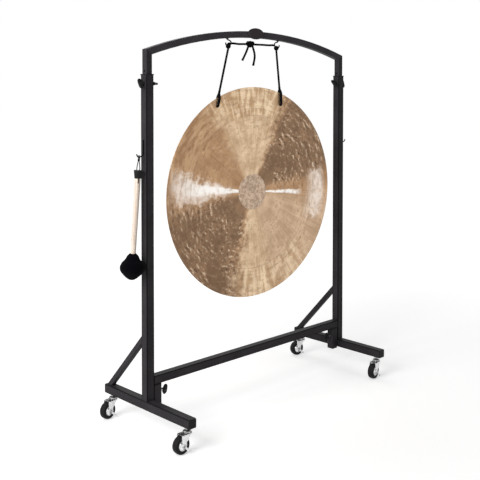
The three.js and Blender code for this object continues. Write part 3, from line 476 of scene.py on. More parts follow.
def powder(name, shade, tube, offsets):
    """Powder coat made lighter or darker by a factor, as painted light. A function of x, y and z may give
    the two offsets from the tube's middle line. Painted shade darkens the coat where both come near half
    the tube's width."""
    coat = Finish(name, Specular_IOR_Level=0.05)
    cloud = coat.noise(9, 4)
    grain = coat.noise(1400, 2)
    peel = coat.noise(420, 2)
    thick = coat.span(cloud * 0.7 + grain * 0.3, 0.35, 0.65)
    low, high = [[value * shade for value in tone] for tone in (POWDER_LOW, POWDER_HIGH)]
    colour = coat.mix(thick, low, high)
    if offsets:
        # Painted shade: the coat goes nearly black along the rounded edges.
        near = []
        for offset in offsets(*coat.axes()):
            off_edge = abs(abs(offset) - tube / 2)
            near.append(coat.span(off_edge, 0.0060, 0.0030))
        colour = coat.mix(near[0] * near[1] * 0.85, colour, (0.004, 0.0035, 0.004))
    coat.set("Base Color", colour)
    coat.set("Roughness", coat.span(grain * 0.6 + cloud * 0.4, 0.3, 0.7, 0.42, 0.56))
    coat.bump(peel * 0.6 + grain * 0.4, 0.00012, 0.5)
    return coat


# The number after each name lightens or darkens that part's copy of the coat, as painted light.
coats = [
    ("post", 0.95, TUBE, lambda x, y, z: (abs(x) - POST_X, y), ["left_post", "right_post"]),
    ("foot", 0.88, TUBE, lambda x, y, z: (abs(x) - POST_X, z - FOOT_MIDDLE), ["left_foot", "right_foot"]),
    ("crossbar", 1.1, CROSSBAR_TUBE, lambda x, y, z: (y, z - CROSSBAR_MIDDLE), ["crossbar"]),
    ("bow", 1.6, TUBE, None, ["arch_bow"]),
    ("plain", 1.0, TUBE, None, ["left_brace", "right_brace", "left_arch_leg", "right_arch_leg"]),
]
for name, shade, tube, offsets, pieces in coats:
    paint(powder(f"{name}_powder_coat", shade, tube, offsets), *pieces)


# End caps and collars: black moulded plastic, pushed into the feet's open ends
# and into the posts' mouths, with the fine matt texture of the mould.
moulded_plastic = Finish("black_moulded_plastic", Specular_IOR_Level=0.12)
speckle = moulded_plastic.noise(2200, 2)
moulded_plastic.mottle(speckle, (0.007, 0.007, 0.0075), (0.015, 0.0145, 0.0155), 0.46, 0.6)
moulded_plastic.bump(speckle, 0.0001, 0.5)
for side in SIDES:
    paint(moulded_plastic, f"{side}_front_foot_cap", f"{side}_rear_foot_cap", f"{side}_collar")


# Wing bolts: a moulded two-winged head on a zinc-plated steel shank. Four pinch
# the arch's legs in the posts and two hold the crossbar's stubs to the posts.
HALF_TUBE = TUBE / 2
CROSSBAR_GAP = 0.003
HEIGHT_BOLT_Z = 1.521
HEIGHT_SHANK = 0.0045
BASE_BOLT_Z = 0.1705
BASE_BOLT_OUT = 0.018
BASE_BOLT_X = POST_X - HALF_TUBE - CROSSBAR_GAP - CROSSBAR_TUBE - BASE_BOLT_OUT
SHANK_IN_POST = 0.008
BASE_SHANK = BASE_BOLT_OUT + CROSSBAR_TUBE + CROSSBAR_GAP + SHANK_IN_POST
BOLT_RADIUS = 0.004
WING_THICKNESS = 0.0095
WING_EDGE = 0.0032
WING_REACH = 0.024
HEAD_RADIUS = 0.009
HEAD_LENGTH = 0.020
SHANK_CHAMFER = 0.0006
ZINC_BLUE = 1.01
UPRIGHT = ((1, 0, 0), (0, 1, 0), (0, 0, 1))
WING_DEGREES = {
    "outer": {"left": 62, "right": 75},
    "inner": {"left": 4, "right": 48},
    "base": {"left": 102, "right": 102},
}


def turned(profile, sides, ways, centre=(0, 0, 0)):
    """A profile of (radius, height) pairs turned about the last of three ways:
    centre + r cos a * first + r sin a * second + h * axis."""
    first, second, axis = np.asarray(ways, float)
    angle = np.linspace(0, 2 * np.pi, sides, endpoint=False)[:, None]
    r, h = np.asarray(profile, float).T[:, :, None, None]
    points = centre + r * np.cos(angle) * first + r * np.sin(angle) * second + h * axis
    return points.reshape(-1, 3), grid_faces(len(profile), sides)


def pillow(outline, thickness, edge):
    """A closed outline in the XY plane given a thickness, its rim rounded by quarter circles."""
    outline = np.asarray(outline, float)
    ahead = np.roll(outline, -1, 0) - np.roll(outline, 1, 0)
    inward = np.stack([-ahead[:, 1], ahead[:, 0]], 1) / np.linalg.norm(ahead, axis=1)[:, None]
    quarter = np.linspace(0, np.pi / 2, 5)
    inset, climb = edge * (1 - np.sin(quarter)), edge * (1 - np.cos(quarter))
    inset = np.concatenate([inset, inset[::-1]])
    height = np.concatenate([climb, (thickness - climb)[::-1]])
    flat = outline[None] + inset[:, None, None] * inward[None]
    points = np.concatenate([flat, np.broadcast_to(height[:, None, None], flat.shape[:2] + (1,))], -1)
    return points.reshape(-1, 3), grid_faces(len(inset), len(outline), caps=True)


WING_HALF = [
    (0.0072, 0.0048), (0.0160, 0.0060), (0.0220, 0.0100), (0.0238, 0.0155),
    (0.0218, 0.0215), (0.0160, 0.0252), (0.0090, 0.0262), (0.0035, 0.0262),
]
wing_corners = WING_HALF + [(-x, z) for x, z in WING_HALF[::-1]]
wing_outline = route_through(wing_corners, len(wing_corners) * 5, closed=True)


def wing_head(place, out, angle, shank):
    """The head and the shank, drawn along +Z from the seat, laid along X and turned about their own axis.
    The wings are a pillow of the outline, thicker toward the hub by a share of the cosine of the span."""
    wings, wing_faces = pillow(wing_outline, WING_THICKNESS, WING_EDGE)
    across = np.clip(np.abs(wings[:, 0]) / WING_REACH, 0, 1)
    depth = (wings[:, 2] - WING_THICKNESS / 2) * (0.72 + 0.42 * np.cos(across * np.pi / 2))
    wings = np.stack([wings[:, 0], depth, wings[:, 1]], 1)
    hub_profile = [
        (0, 0), (HEAD_RADIUS - 0.001, 0), (HEAD_RADIUS, 0.001), (HEAD_RADIUS, 0.004),
        (0.0078, 0.018), (0.0068, HEAD_LENGTH), (0, HEAD_LENGTH),
    ]
    shank_profile = [
        (0, -shank), (BOLT_RADIUS - SHANK_CHAMFER, -shank), (BOLT_RADIUS, SHANK_CHAMFER - shank),
        (BOLT_RADIUS, 0.001), (0, 0.001),
    ]

    def laid(points, faces):
        x, y, z = points.T
        across, up = spun(x, y, angle)
        return np.stack([place[0] + out * z, place[1] + across, place[2] + up], 1), faces

    head = [laid(wings, wing_faces), laid(*turned(hub_profile, 32, UPRIGHT))]
    return head, [laid(*turned(shank_profile, 24, UPRIGHT))]


def plated(name, low, high, scale=160, reflection_dark_above=None):
    """Zinc plate between two grays, clouded at a scale.
    Above a height it may be darkened as painted dark reflection.
    """
    finish = Finish(name)
    clouded = finish.noise(scale, 4, 0.6)
    fine = finish.noise(1300, 2)
    low, high = (low, low, low * ZINC_BLUE), (high, high, high * ZINC_BLUE)
    colour = finish.mix(finish.span(clouded, 0.36, 0.64), low, high)
    if reflection_dark_above:
        dark_reflection = finish.mix(finish.span(clouded, 0.42, 0.62), (0.05, 0.048, 0.046), (0.30, 0.30, 0.30))
        above = finish.span(finish.axes()[2], reflection_dark_above, reflection_dark_above + 0.0012)
        colour = finish.mix(above, colour, dark_reflection)
    finish.set("Base Color", colour)
    finish.set("Metallic", finish.span(clouded, 0, 1, 0.86, 0.98))
    finish.set("Roughness", finish.span(fine * 0.5 + clouded * 0.5, 0.3, 0.7, 0.18, 0.34))
    finish.bump(fine, 0.00008, 0.5)
    return finish


zinc = plated("bright_zinc", 0.80, 0.93)

for side, sign in SIDES.items():
    seats = {
        "outer": (sign * (POST_X + HALF_TUBE + SEAT_GAP), sign, HEIGHT_BOLT_Z, HEIGHT_SHANK),
        "inner": (sign * (POST_X - HALF_TUBE - SEAT_GAP), -sign, HEIGHT_BOLT_Z, HEIGHT_SHANK),
        "base": (sign * BASE_BOLT_X, -sign, BASE_BOLT_Z, BASE_SHANK),
    }
    for place_name, (x, out, z, shank) in seats.items():
        node = f"{side}_{place_name}_wing_bolt"
        angle = math.radians(WING_DEGREES[place_name][side])
        head_parts, shank_parts = wing_head((x, 0, z), out, angle, shank)
        paint(moulded_plastic, build_piece(f"{node}_moulded", head_parts, node, [node]))
        paint(zinc, build_piece(f"{node}_shank", shank_parts, node, [node]))


# Oval badge: a stamped plate on the front of the bow, with a raised rim round a
# bare black face. It is fixed from behind.
BADGE_HALF = (0.054, 0.027)
BADGE_CENTRE = (0, -0.0158, 1.7595)
BADGE_DEPTH = 0.003
FORWARD = ((1, 0, 0), (0, 0, 1), (0, -1, 0))

badge_coat = Finish("badge_black_enamel", Specular_IOR_Level=0.12, Coat_Weight=0.05, Coat_Roughness=0.25)
badge_cloud = badge_coat.noise(120, 3)
badge_coat.mottle(badge_cloud, (0.020, 0.014, 0.016), (0.033, 0.024, 0.027), 0.3, 0.42)
badge_profile = [(0, 0), (0.98, 0), (1, 0.25), (1, 0.75), (0.985, 1), (0.955, 1)]
badge_profile += [(0.935, 0.8), (0.6, 0.8), (0, 0.8)]
plate, plate_faces = turned(badge_profile, 96, FORWARD)
plate = plate * (BADGE_HALF[0], BADGE_DEPTH, BADGE_HALF[1]) + BADGE_CENTRE
paint(badge_coat, build_piece("badge_plate", [(plate, plate_faces)], "arch", ["badge"]))


# Hooks: bent steel wire with a black coat. The gong's two are screwed up into
# the bow with a small flange; the mallet's two are fixed flat to the posts.
wire_coat = Finish("black_wire_coat", Specular_IOR_Level=0.05)
wire_cloud = wire_coat.noise(300, 3)
wire_coat.mottle(wire_cloud, (0.003, 0.003, 0.0035), (0.009, 0.0085, 0.0095), 0.48, 0.62)

HOOK_ROOT_X = 0.172
HOOK_ROOT_Z = 1.73314
HOOK_TIP_X = 0.1815
HOOK_THREAD = 0.008
HOOK_NECK = HOOK_SEAT_Z + 0.022
HOOK_CUP = 0.009
HOOK_CUP_Z = HOOK_SEAT_Z + 0.0025
FLANGE_RADIUS = 0.008
BOW_UNDERSIDE_RADIUS = 2.1863
gong_hook_route = [
    (HOOK_ROOT_X, HOOK_ROOT_Z + HOOK_THREAD),
    (HOOK_ROOT_X, HOOK_ROOT_Z),
    (HOOK_ROOT_X, HOOK_ROOT_Z - HOOK_WIRE),
    ((HOOK_ROOT_X + HOOK_BELLY_X) / 2, HOOK_NECK + HOOK_WIRE),
    (HOOK_BELLY_X, HOOK_NECK),
    (HOOK_BELLY_X, HOOK_SEAT_Z + 0.012),
    (HOOK_SEAT_X - HOOK_CUP, HOOK_CUP_Z),
    (HOOK_SEAT_X, HOOK_SEAT_Z),
    (HOOK_SEAT_X + HOOK_CUP, HOOK_CUP_Z),
    (HOOK_TIP_X, HOOK_SEAT_Z + 0.0085),
    (HOOK_TIP_X, HOOK_SEAT_Z + 0.017),
]
MALLET_SHANK_X = POST_X + HALF_TUBE + 2 * SEAT_GAP + MALLET_HOOK_WIRE / 2
mallet_hook_route = [
    (MALLET_SHANK_X, 1.279),
    (MALLET_SHANK_X, 1.224),
    (MALLET_SHANK_X, 1.219),
    (MALLET_SHANK_X + MALLET_HOOK_WIRE, MALLET_HOOK_Z + MALLET_HOOK_WIRE),
    (0.690, MALLET_HOOK_Z),
    (0.697, MALLET_HOOK_Z + MALLET_HOOK_WIRE / 2),
    (0.704, MALLET_HOOK_Z + 0.013),
]


def wire(route, sign, diameter):
    """Wire along a route in the XZ plane, mirrored by sign, whose far end is drawn in to a rounded tip."""
    line = route_through([(sign * x, 0, z) for x, z in route], 90)
    left_over = np.linalg.norm(line - line[-1], axis=1) / (diameter / 2)
    radius = diameter / 2 * np.sqrt(np.clip(1 - (1 - np.clip(left_over, 0, 1)) ** 2, 0.04, 1))
    return carried(line, radius, 18, (0, 1, 0))


bow_slope = math.tan(math.asin(HOOK_ROOT_X / BOW_UNDERSIDE_RADIUS))
slope_drop = FLANGE_RADIUS * bow_slope + SEAT_GAP
flange_rim = [(FLANGE_RADIUS, -0.0005), (FLANGE_RADIUS, -0.0015)]
flange = [(0, 0), (0.0075, 0), *flange_rim, (0.0075, -0.002), (0, -0.002)]
for side, sign in SIDES.items():
    flange_part = turned(flange, 32, UPRIGHT, (sign * HOOK_ROOT_X, 0, HOOK_ROOT_Z - slope_drop))
    gong_parts = [wire(gong_hook_route, sign, HOOK_WIRE), flange_part]
    mallet_parts = [wire(mallet_hook_route, sign, MALLET_HOOK_WIRE * 1.1)]
    for kind, parts, body in (("gong", gong_parts, "arch"), ("mallet", mallet_parts, "frame")):
        hook = f"{side}_{kind}_hook"
        paint(wire_coat, build_piece(f"{hook}_wire", parts, body, [hook]))


# Gong: a sheet of bronze, spun and hammered into a shallow dish, with turned
# rings toward the rim and a plain disc in the middle.
CENTRE_DISC = 0.086
DISC_STEP = 0.001
DISC_RINGS = 14
SHEET_RINGS = 102
EDGE_ROUND = 0.0015
SPOKES = 320
rng = np.random.default_rng(41)


def hammered(x, z, radius):
    """Relief of the sheet: a sum of random waves of 20 to 60 mm where it is hammered, and turned rings."""
    waves = np.zeros_like(x)
    for _ in range(44):
        way, length, start = rng.uniform(0, 2 * np.pi), rng.uniform(0.02, 0.06), rng.uniform(0, 2 * np.pi)
        waves += length * np.cos(2 * np.pi * (x * np.cos(way) + z * np.sin(way)) / length + start)
    band = np.clip((radius - 0.10) / 0.06, 0, 1) * np.clip((0.50 - radius) / 0.08, 0, 1)
    rings = np.zeros_like(x)
    for _ in range(7):
        length, start = rng.uniform(0.014, 0.05), rng.uniform(0, 2 * np.pi)
        rings += np.cos(2 * np.pi * radius / length + start)
    return 0.0012 * waves * band + 0.00009 * rings * np.clip(radius / CENTRE_DISC - 1, 0, 1)


radii = np.concatenate(
    [
        np.linspace(0, CENTRE_DISC - DISC_STEP, DISC_RINGS),
        np.linspace(CENTRE_DISC + DISC_STEP, GONG_RADIUS - EDGE_ROUND, SHEET_RINGS),
        [GONG_RADIUS - 0.0006, GONG_RADIUS],
    ]
)
angles = np.linspace(0, 2 * np.pi, SPOKES, endpoint=False)
radius_grid, angle_grid = np.meshgrid(radii, angles, indexing="ij")
plate_x, plate_z = radius_grid * np.cos(angle_grid), radius_grid * np.sin(angle_grid)
at_rim = np.clip((GONG_RADIUS - radius_grid) / 0.01, 0, 1)
rise = gong_face(radius_grid) + hammered(plate_x, plate_z, radius_grid) * at_rim
rise -= DISC_STEP * (radius_grid < CENTRE_DISC)
into_edge = np.clip((radius_grid - (GONG_RADIUS - EDGE_ROUND)) / EDGE_ROUND, 0, 1)
half_sheet = GONG_THICKNESS / 2 * np.sqrt(1 - into_edge**2)
shells = []
for way in (-1, 1):
    points = np.stack(on_gong(plate_x, rise + way * half_sheet, plate_z), -1)
    shells.append((points.reshape(-1, 3), grid_faces(len(radii), SPOKES)))
gong_plate = build_piece("gong_sheet", shells, "gong", ["gong"], smooth_angle=50)

bronze = Finish("hammered_bronze")
object_place = bronze.node("ShaderNodeTexCoord", output=3)
to_gong = {0: object_place, 1: (0, 0, GONG_HEIGHT), 2: (0, 0, GONG_TURN)}
own_place = bronze.node("ShaderNodeMapping", {"vector_type": "TEXTURE"}, to_gong)
gong_x, _, gong_z = bronze.axes(own_place)
cloud = bronze.noise(11, 5, 0.6, at=own_place)
fine_cloud = bronze.noise(38, 4, 0.6, at=own_place)
wobble = bronze.noise(5, 3, at=own_place) - 0.5
true_radius = (gong_x * gong_x + gong_z * gong_z) ** 0.5
true_bearing = gong_z.math("ARCTAN2", gong_x)
radius = true_radius + wobble * 0.03
bearing = true_bearing + wobble * 0.5 + (fine_cloud - 0.5) * 0.35


def polar_noise(out_scale, round_scale, shift=0.0):
    """Noise long along the radius or round the rim, by its scales outward and round the middle."""
    sockets = {
        0: true_radius * out_scale + (wobble * 1.6 + shift),
        1: true_bearing.math("COSINE") * round_scale,
        2: true_bearing.math("SINE") * round_scale,
    }
    return bronze.noise(1.0, at=bronze.node("ShaderNodeCombineXYZ", {}, sockets))


def sector(centre, inner, outer, of=bearing):
    """1 within some degrees of a bearing, falling to 0 further off, by the cosine of the angle."""
    lean = (of - math.radians(centre)).math("COSINE")
    return bronze.span(lean, math.cos(math.radians(outer)), math.cos(math.radians(inner)))


def ring_line(place):
    """A turned groove: 1 on a ring of the given radius and 0 a millimetre or two from it."""
    return 1 - bronze.span(abs(true_radius - place), 0.0005, 0.0018)


# Each hammer mark, also a bump of the surface, has a painted lit side and a painted
# shaded side: the noise less the same noise a little further out.
dent_height = polar_noise(50, 12)
dent_slope = dent_height - polar_noise(50, 12, 0.45)
dent_light = bronze.span(dent_slope, 0.05, 0.17)
dent_shade = bronze.span(dent_slope, -0.05, -0.18)
fibres = polar_noise(8, 52)
tongues = polar_noise(11, 22)
band_streaks = polar_noise(30, 5)
in_shade = sector(34, 22, 36) + sector(222, 28, 44)
hammered_part = bronze.span(true_radius, 0.11, 0.17) * bronze.span(cloud, 0.42, 0.58, 0.15, 1.0)

mottle = bronze.span(cloud * 0.45 + fine_cloud * 0.3 + fibres * 0.25, 0.38, 0.62)
colour = bronze.mix(mottle, (0.36, 0.202, 0.102), (0.53, 0.328, 0.182))
peach_highlight = bronze.mix(mottle, (0.49, 0.325, 0.20), (0.68, 0.485, 0.33))
pale = bronze.mix(mottle, (0.51, 0.34, 0.195), (0.82, 0.62, 0.42))
dark = bronze.mix(mottle, (0.185, 0.107, 0.058), (0.32, 0.195, 0.112))
golden = bronze.mix(bronze.span(band_streaks, 0.4, 0.6), (0.33, 0.182, 0.090), (0.54, 0.345, 0.195))
flames = bronze.span(band_streaks * 0.4 + tongues * 0.6, 0.4, 0.6)
flames = bronze.mix(flames, (0.46, 0.285, 0.15), (0.92, 0.72, 0.49))
band = bronze.span(radius, 0.355, 0.39)
mark_share = hammered_part * (in_shade * 0.6 + 0.35).math("MINIMUM", 0.95)

# Painted highlights: the lamps' streaks of reflection in the spun metal, as bright glints in the colour.
steady_bearing = true_bearing + wobble * 0.1 + (fine_cloud - 0.5) * 0.06
left_glint = sector(175, 2, 12) * bronze.span(radius, 0.1, 0.2) * bronze.span(radius, 0.52, 0.44)
left_core = sector(174, 1.5, 6, steady_bearing) * bronze.span(radius, 0.45, 0.30)
right_glint = sector(-3.8, 0.6, 3.2, steady_bearing) * bronze.span(radius, 0.34, 0.27)
rim_glint = sector(-2, 8, 21) * bronze.span(radius, 0.345, 0.42) * bronze.span(radius, 0.49, 0.45)
glint_breaks = bronze.span(fine_cloud * 0.4 + dent_height * 0.6, 0.4, 0.58, 0.45, 0.95)
wide_glint = (left_glint + rim_glint).math("MINIMUM", 1.0) * glint_breaks
thin_glint = (left_core + right_glint).math("MINIMUM", 1.0) * bronze.span(dent_height, 0.34, 0.5, 0.5, 1.0)
lines = ring_line(0.372) + ring_line(0.404) * 0.8 + ring_line(0.351) * 0.4 + ring_line(0.21) * 0.4

# Each patch covers the ones before it, by its share. The sectors at the lower right, top and bottom
# are painted light and those at the upper right and lower left painted shade. The flames are the outer
# band's own streaks, made light as painted light in the lit top and bottom sectors. The hammer marks'
# sides are painted light and shade, and the glints painted highlights.
patches = [
    (sector(318, 24, 44), peach_highlight),
    (sector(94, 16, 34), pale),
    (sector(272, 6, 16), pale),
    (band * sector(150, 45, 70) * 0.75, golden),
    (band * sector(95, 14, 34) * 0.75, flames),
    (band * sector(280, 22, 48) * 0.6, flames),
    (sector(38, 18, 31), dark),
    (sector(222, 26, 41), dark),
    (dent_light * mark_share, (0.62, 0.47, 0.335)),
    (dent_shade * mark_share, (0.125, 0.075, 0.045)),
    (wide_glint, (0.87, 0.76, 0.67)),
    (thin_glint, (0.97, 0.93, 0.88)),
    (lines * 0.4, (0.15, 0.088, 0.05)),
]
for share, tone in patches:
    colour = bronze.mix(share, colour, tone)
disc_cloud = bronze.noise(70, 4, 0.65, at=own_place)
disc = bronze.mix(bronze.span(disc_cloud, 0.38, 0.62), (0.37, 0.26, 0.182), (0.62, 0.47, 0.35))
colour = bronze.mix(bronze.span(true_radius, CENTRE_DISC - 0.0008, CENTRE_DISC + 0.0004), disc, colour)
bronze.set("Base Color", colour)
bronze.set("Metallic", bronze.span(mottle, 0, 1, 0.72, 0.88))
bronze.set("Roughness", bronze.span(fine_cloud, 0.3, 0.7, 0.3, 0.5))
grooves = (true_radius * 900).math("SINE") * 0.08
bronze.bump(dent_height * 0.8 + fine_cloud * 0.3 + grooves, 0.0022, 0.8)
paint(bronze, gong_plate)


# Mallet: a maple handle turned on a lathe, a black plastic sleeve over its top
# end and a fleece-covered head pushed onto the other.
SLEEVE_LENGTH = 0.035
SLEEVE_BORE = 0.0128
SLEEVE_CAP = 0.004
HANDLE_RADIUS = 0.0125
HANDLE_FOOT_RADIUS = 0.0118
HANDLE_CHAMFER = 0.002
HANDLE_IN_HEAD = 0.06
MALLET_LENGTH = 0.469
HEAD_SIZE = (0.053, 0.112)
HEAD_TOP = HEAD_SIZE[1] - MALLET_LENGTH
TUFT_WAVES = 60


def on_stick(parts):
    """Shells drawn with the sleeve's top at the origin, hung below the hook and leaned with the mallet."""
    return [(on_mallet(points + np.array([0, 0, -MALLET_DROP])), faces) for points, faces in parts]


sleeve_profile = [
    (0, 0), (0.0165, 0), (0.0185, -0.0006), (0.0190, -0.0020), (0.0165, -0.0180), (0.0146, -0.0340),
    (0.0143, -SLEEVE_LENGTH), (SLEEVE_BORE, -SLEEVE_LENGTH), (SLEEVE_BORE, -SLEEVE_CAP), (0, -SLEEVE_CAP),
]
sleeve_parts = on_stick([turned(sleeve_profile, 48, UPRIGHT)])
sleeve = build_piece("mallet_sleeve_moulded", sleeve_parts, "mallet", ["mallet_sleeve"])
paint(moulded_plastic, sleeve)

handle_way = np.linspace(0, 1, 40)
handle_bottom, handle_top = HEAD_TOP - HANDLE_IN_HEAD, -SLEEVE_CAP - SEAT_GAP
handle_radius = HANDLE_FOOT_RADIUS + (HANDLE_RADIUS - HANDLE_FOOT_RADIUS) * handle_way
handle_rise = handle_bottom + (handle_top - HANDLE_CHAMFER - handle_bottom) * handle_way
handle_profile = [(0, handle_bottom), *zip(handle_radius, handle_rise)]
handle_profile += [(HANDLE_RADIUS - HANDLE_CHAMFER, handle_top), (0, handle_top)]
handle_parts = on_stick([turned(handle_profile, 40, UPRIGHT)])
handle = build_piece("mallet_handle_turned", handle_parts, "mallet", ["mallet_handle"])
maple = Finish("turned_maple", IOR=1.5)
grain_place = maple.place(stretch=(1, 1, 0.06))
long_grain = maple.noise(170, 4, 0.6, at=grain_place)
pores = maple.noise(1500, 2, 0.5, at=maple.place(stretch=(1, 1, 0.03)))
maple_grain = maple.span(long_grain * 0.75 + pores * 0.25, 0.34, 0.66)
maple.set("Base Color", maple.mix(maple_grain, (0.68, 0.53, 0.42), (0.86, 0.75, 0.65)))
maple.set("Roughness", maple.span(long_grain, 0.3, 0.7, 0.48, 0.62))
maple.bump(pores, 0.0002, 0.5)
paint(maple, handle)

# The head's outline from its top, as shares of its radius and of its length.
HEAD_SHARES = [
    (0.27, 0), (0.47, 0.1), (0.6, 0.22), (0.87, 0.37), (1, 0.53),
    (0.94, 0.68), (0.7, 0.82), (0.42, 0.94), (0.2, 1),
]
outline = [(out * HEAD_SIZE[0], HEAD_TOP - down * HEAD_SIZE[1]) for out, down in HEAD_SHARES]
head_profile = [(0, HEAD_TOP), *route_through(outline, 110), (0, HEAD_TOP - HEAD_SIZE[1])]
fleece_points, fleece_faces = turned(head_profile, 150, UPRIGHT)
tufts = np.zeros(len(fleece_points))
for _ in range(TUFT_WAVES):
    way = rng.normal(size=3)
    way /= np.linalg.norm(way)
    length = rng.uniform(0.004, 0.016)
    tufts += np.cos(2 * np.pi * (fleece_points @ way) / length + rng.uniform(0, 2 * np.pi)) * length
pile = 1 + 2.2 * tufts / TUFT_WAVES
fleece_points[:, :2] *= np.clip(pile, 0.9, 1.03)[:, None]
head_parts = on_stick([(fleece_points, fleece_faces)])
names = ["mallet_head"]
head = build_piece("mallet_head_fleece", head_parts, "mallet", names, smooth_angle=180)
fleece = Finish("black_fleece", Sheen_Weight=0.02, Sheen_Roughness=0.5, Specular_IOR_Level=0.02)
tuft_shade = fleece.noise(260, 4, 0.7)
fleece.mottle(tuft_shade, (0.0008, 0.0008, 0.0014), (0.0045, 0.0040, 0.0058), 0.9, 1.0)
fleece.bump(tuft_shade, 0.0025, 1.0)
paint(fleece, head)


# Casters: a zinc-plated stamped fork with a ball race, on a threaded stem with
# a nut, a hard rubber tyre on a bright hub, an axle bolt and a side brake lever.
STEM_Y = 0.260
CORNERS = {
    "front_left": (-POST_X, -STEM_Y, 0),
    "rear_left": (-POST_X, STEM_Y, 8),
    "front_right": (POST_X, -STEM_Y, 10),
    "rear_right": (POST_X, STEM_Y, -11),
}
TRAIL = 0.033
WHEEL_RADIUS = 0.038
HALF_WHEEL = 0.016
TYRE_SHOULDER = 0.007
TREAD_CROWN = 0.0012
HUB_RADIUS = 0.0215
FORK_INNER = HALF_WHEEL + 0.002
FORK_PLATE = 0.0025
FORK_OUTER = FORK_INNER + FORK_PLATE
CROWN_BOTTOM = 0.080
CROWN_TOP = 0.083
CROWN_TAIL = 0.040
EYE_RADIUS = 0.0085
RACE_TOP = 0.087
FOOT_HEIGHT = 0.106
STEM_IN_FOOT = 0.018
NUT_HEIGHT = 0.008
AXLE_AT = (-TRAIL, 0, WHEEL_RADIUS)
ALONG_Y = ((1, 0, 0), (0, 0, -1), (0, 1, 0))

tyre_rubber = Finish("hard_black_rubber", Specular_IOR_Level=0.12)
rubber_cloud = tyre_rubber.noise(140, 3)
rubber_fine = tyre_rubber.noise(1500, 2)
tyre_rubber.mottle(rubber_cloud, (0.008, 0.0072, 0.008), (0.015, 0.0135, 0.015), 0.5, 0.7)
tyre_rubber.bump(rubber_fine, 0.00012, 0.5)


def at_corner(parts, corner):
    """Shells drawn with the stem on the origin, turned about the stem and moved to a corner of the base."""
    x, y, degrees = CORNERS[corner]
    moved = []
    for points, faces in parts:
        across, back = spun(*points.T[:2], math.radians(degrees))
        moved.append((np.stack([across + x, back + y, points[:, 2]], 1), faces))
    return moved


def tyre_shell():
    """A crowned tread whose shoulders are quarter circles, over straight walls down to the hub."""
    shoulder = np.linspace(0, np.pi / 2, 9)
    side_radius = WHEEL_RADIUS - TREAD_CROWN - TYRE_SHOULDER + TYRE_SHOULDER * np.sin(shoulder)
    side_width = HALF_WHEEL - TYRE_SHOULDER + TYRE_SHOULDER * np.cos(shoulder)
    half = [(HUB_RADIUS, 0.014), (HUB_RADIUS + 0.0025, 0.0146), (HUB_RADIUS + 0.004, HALF_WHEEL - 0.0004)]
    half += [*zip(side_radius, side_width), (WHEEL_RADIUS - 0.0003, 0.005)]
    profile = [(r, -w) for r, w in half] + [(WHEEL_RADIUS, 0)] + half[::-1]
    return turned(profile + profile[:1], 72, ALONG_Y, AXLE_AT)


def hub_shell():
    """A boss and a dished web out to a rolled rim: half the profile, mirrored about the wheel's middle."""
    rim = HUB_RADIUS - SEAT_GAP
    half = [
        (0.0043, 0.0177), (0.0080, 0.0177), (0.0080, 0.0125), (0.0095, 0.0113), (0.0168, 0.0110),
        (0.0188, 0.0122), (0.0200, 0.0140), (rim - 0.0004, 0.0143), (rim, 0.0138),
    ]
    profile = [(r, -w) for r, w in half] + half[::-1]
    return turned(profile + profile[:1], 56, ALONG_Y, AXLE_AT)


def fork_shell():
    """The stamping: a U section, flat crown and two legs, carried from nose to tail. Its half width
    follows the round nose, and the legs' slanted edges come down to a round eye at the axle."""
    nose_radius = FORK_OUTER
    back_end = TRAIL + EYE_RADIUS
    x = nose_radius - np.linspace(0, 1, 121) * (nose_radius + back_end)
    nose = np.sqrt(np.clip(nose_radius**2 - np.clip(x, 0, None) ** 2, 1e-8, None))
    tail_cut = np.clip((x + CROWN_TAIL - 0.004) / -0.0065, 0, 1) * 0.004
    half = np.minimum(nose, FORK_INNER + FORK_PLATE / 2) - tail_cut
    eye = WHEEL_RADIUS - np.sqrt(np.clip(EYE_RADIUS**2 - (x + TRAIL) ** 2, 0, None))
    neck = -TRAIL + 0.006
    front_x = [neck, neck + 0.003, -0.013, -0.007, 0.001, nose_radius]
    front_edge = np.interp(x, front_x, [0.0355, 0.0455, 0.0550, 0.0630, 0.0765, 0.0790])
    eye_end = EYE_RADIUS / 4 - back_end
    rear_edge = np.interp(x, [-back_end, eye_end], [0.064, 0.048])
    low = np.where(x > neck, front_edge, np.where(x < eye_end, rear_edge, eye))
    low = np.minimum(low, CROWN_BOTTOM - 0.004)
    bend, top = 0.003, CROWN_TOP - FORK_PLATE / 2
    quarter = np.linspace(0, np.pi / 2, 6)[None, :]
    bend_here = np.minimum(bend, half * 0.6)[:, None]
    leg_share = np.linspace(0, 1, 9)[None, :-1]
    leg_z = low[:, None] + (top - bend_here - low[:, None]) * leg_share
    leg_y = np.broadcast_to(-half[:, None], leg_z.shape)
    bend_y = -half[:, None] + bend_here * (1 - np.cos(quarter))
    bend_z = top - bend_here + bend_here * np.sin(quarter)
    y = np.concatenate([leg_y, bend_y, -bend_y[:, ::-1], -leg_y[:, ::-1]], 1)
    z = np.concatenate([leg_z, bend_z, bend_z[:, ::-1], leg_z[:, ::-1]], 1)
    upright = (z - WHEEL_RADIUS) / (CROWN_TOP - WHEEL_RADIUS) * (back_end - CROWN_TAIL)
    slanted = x[:, None] + upright * np.clip(-x[:, None] / back_end, 0, 1) ** 2
    points = np.stack([slanted, y, z], -1)
    return points.reshape(-1, 3), grid_faces(*y.shape, wrap_columns=False)


def hexagon(across, length, ways, centre):
    """A hexagonal head with its top corners turned off."""
    r = across / math.sqrt(3)
    profile = [(0, 0), (r, 0), (r, length * 0.82), (r * 0.88, length), (0, length)]
    return turned(profile, 6, ways, centre)


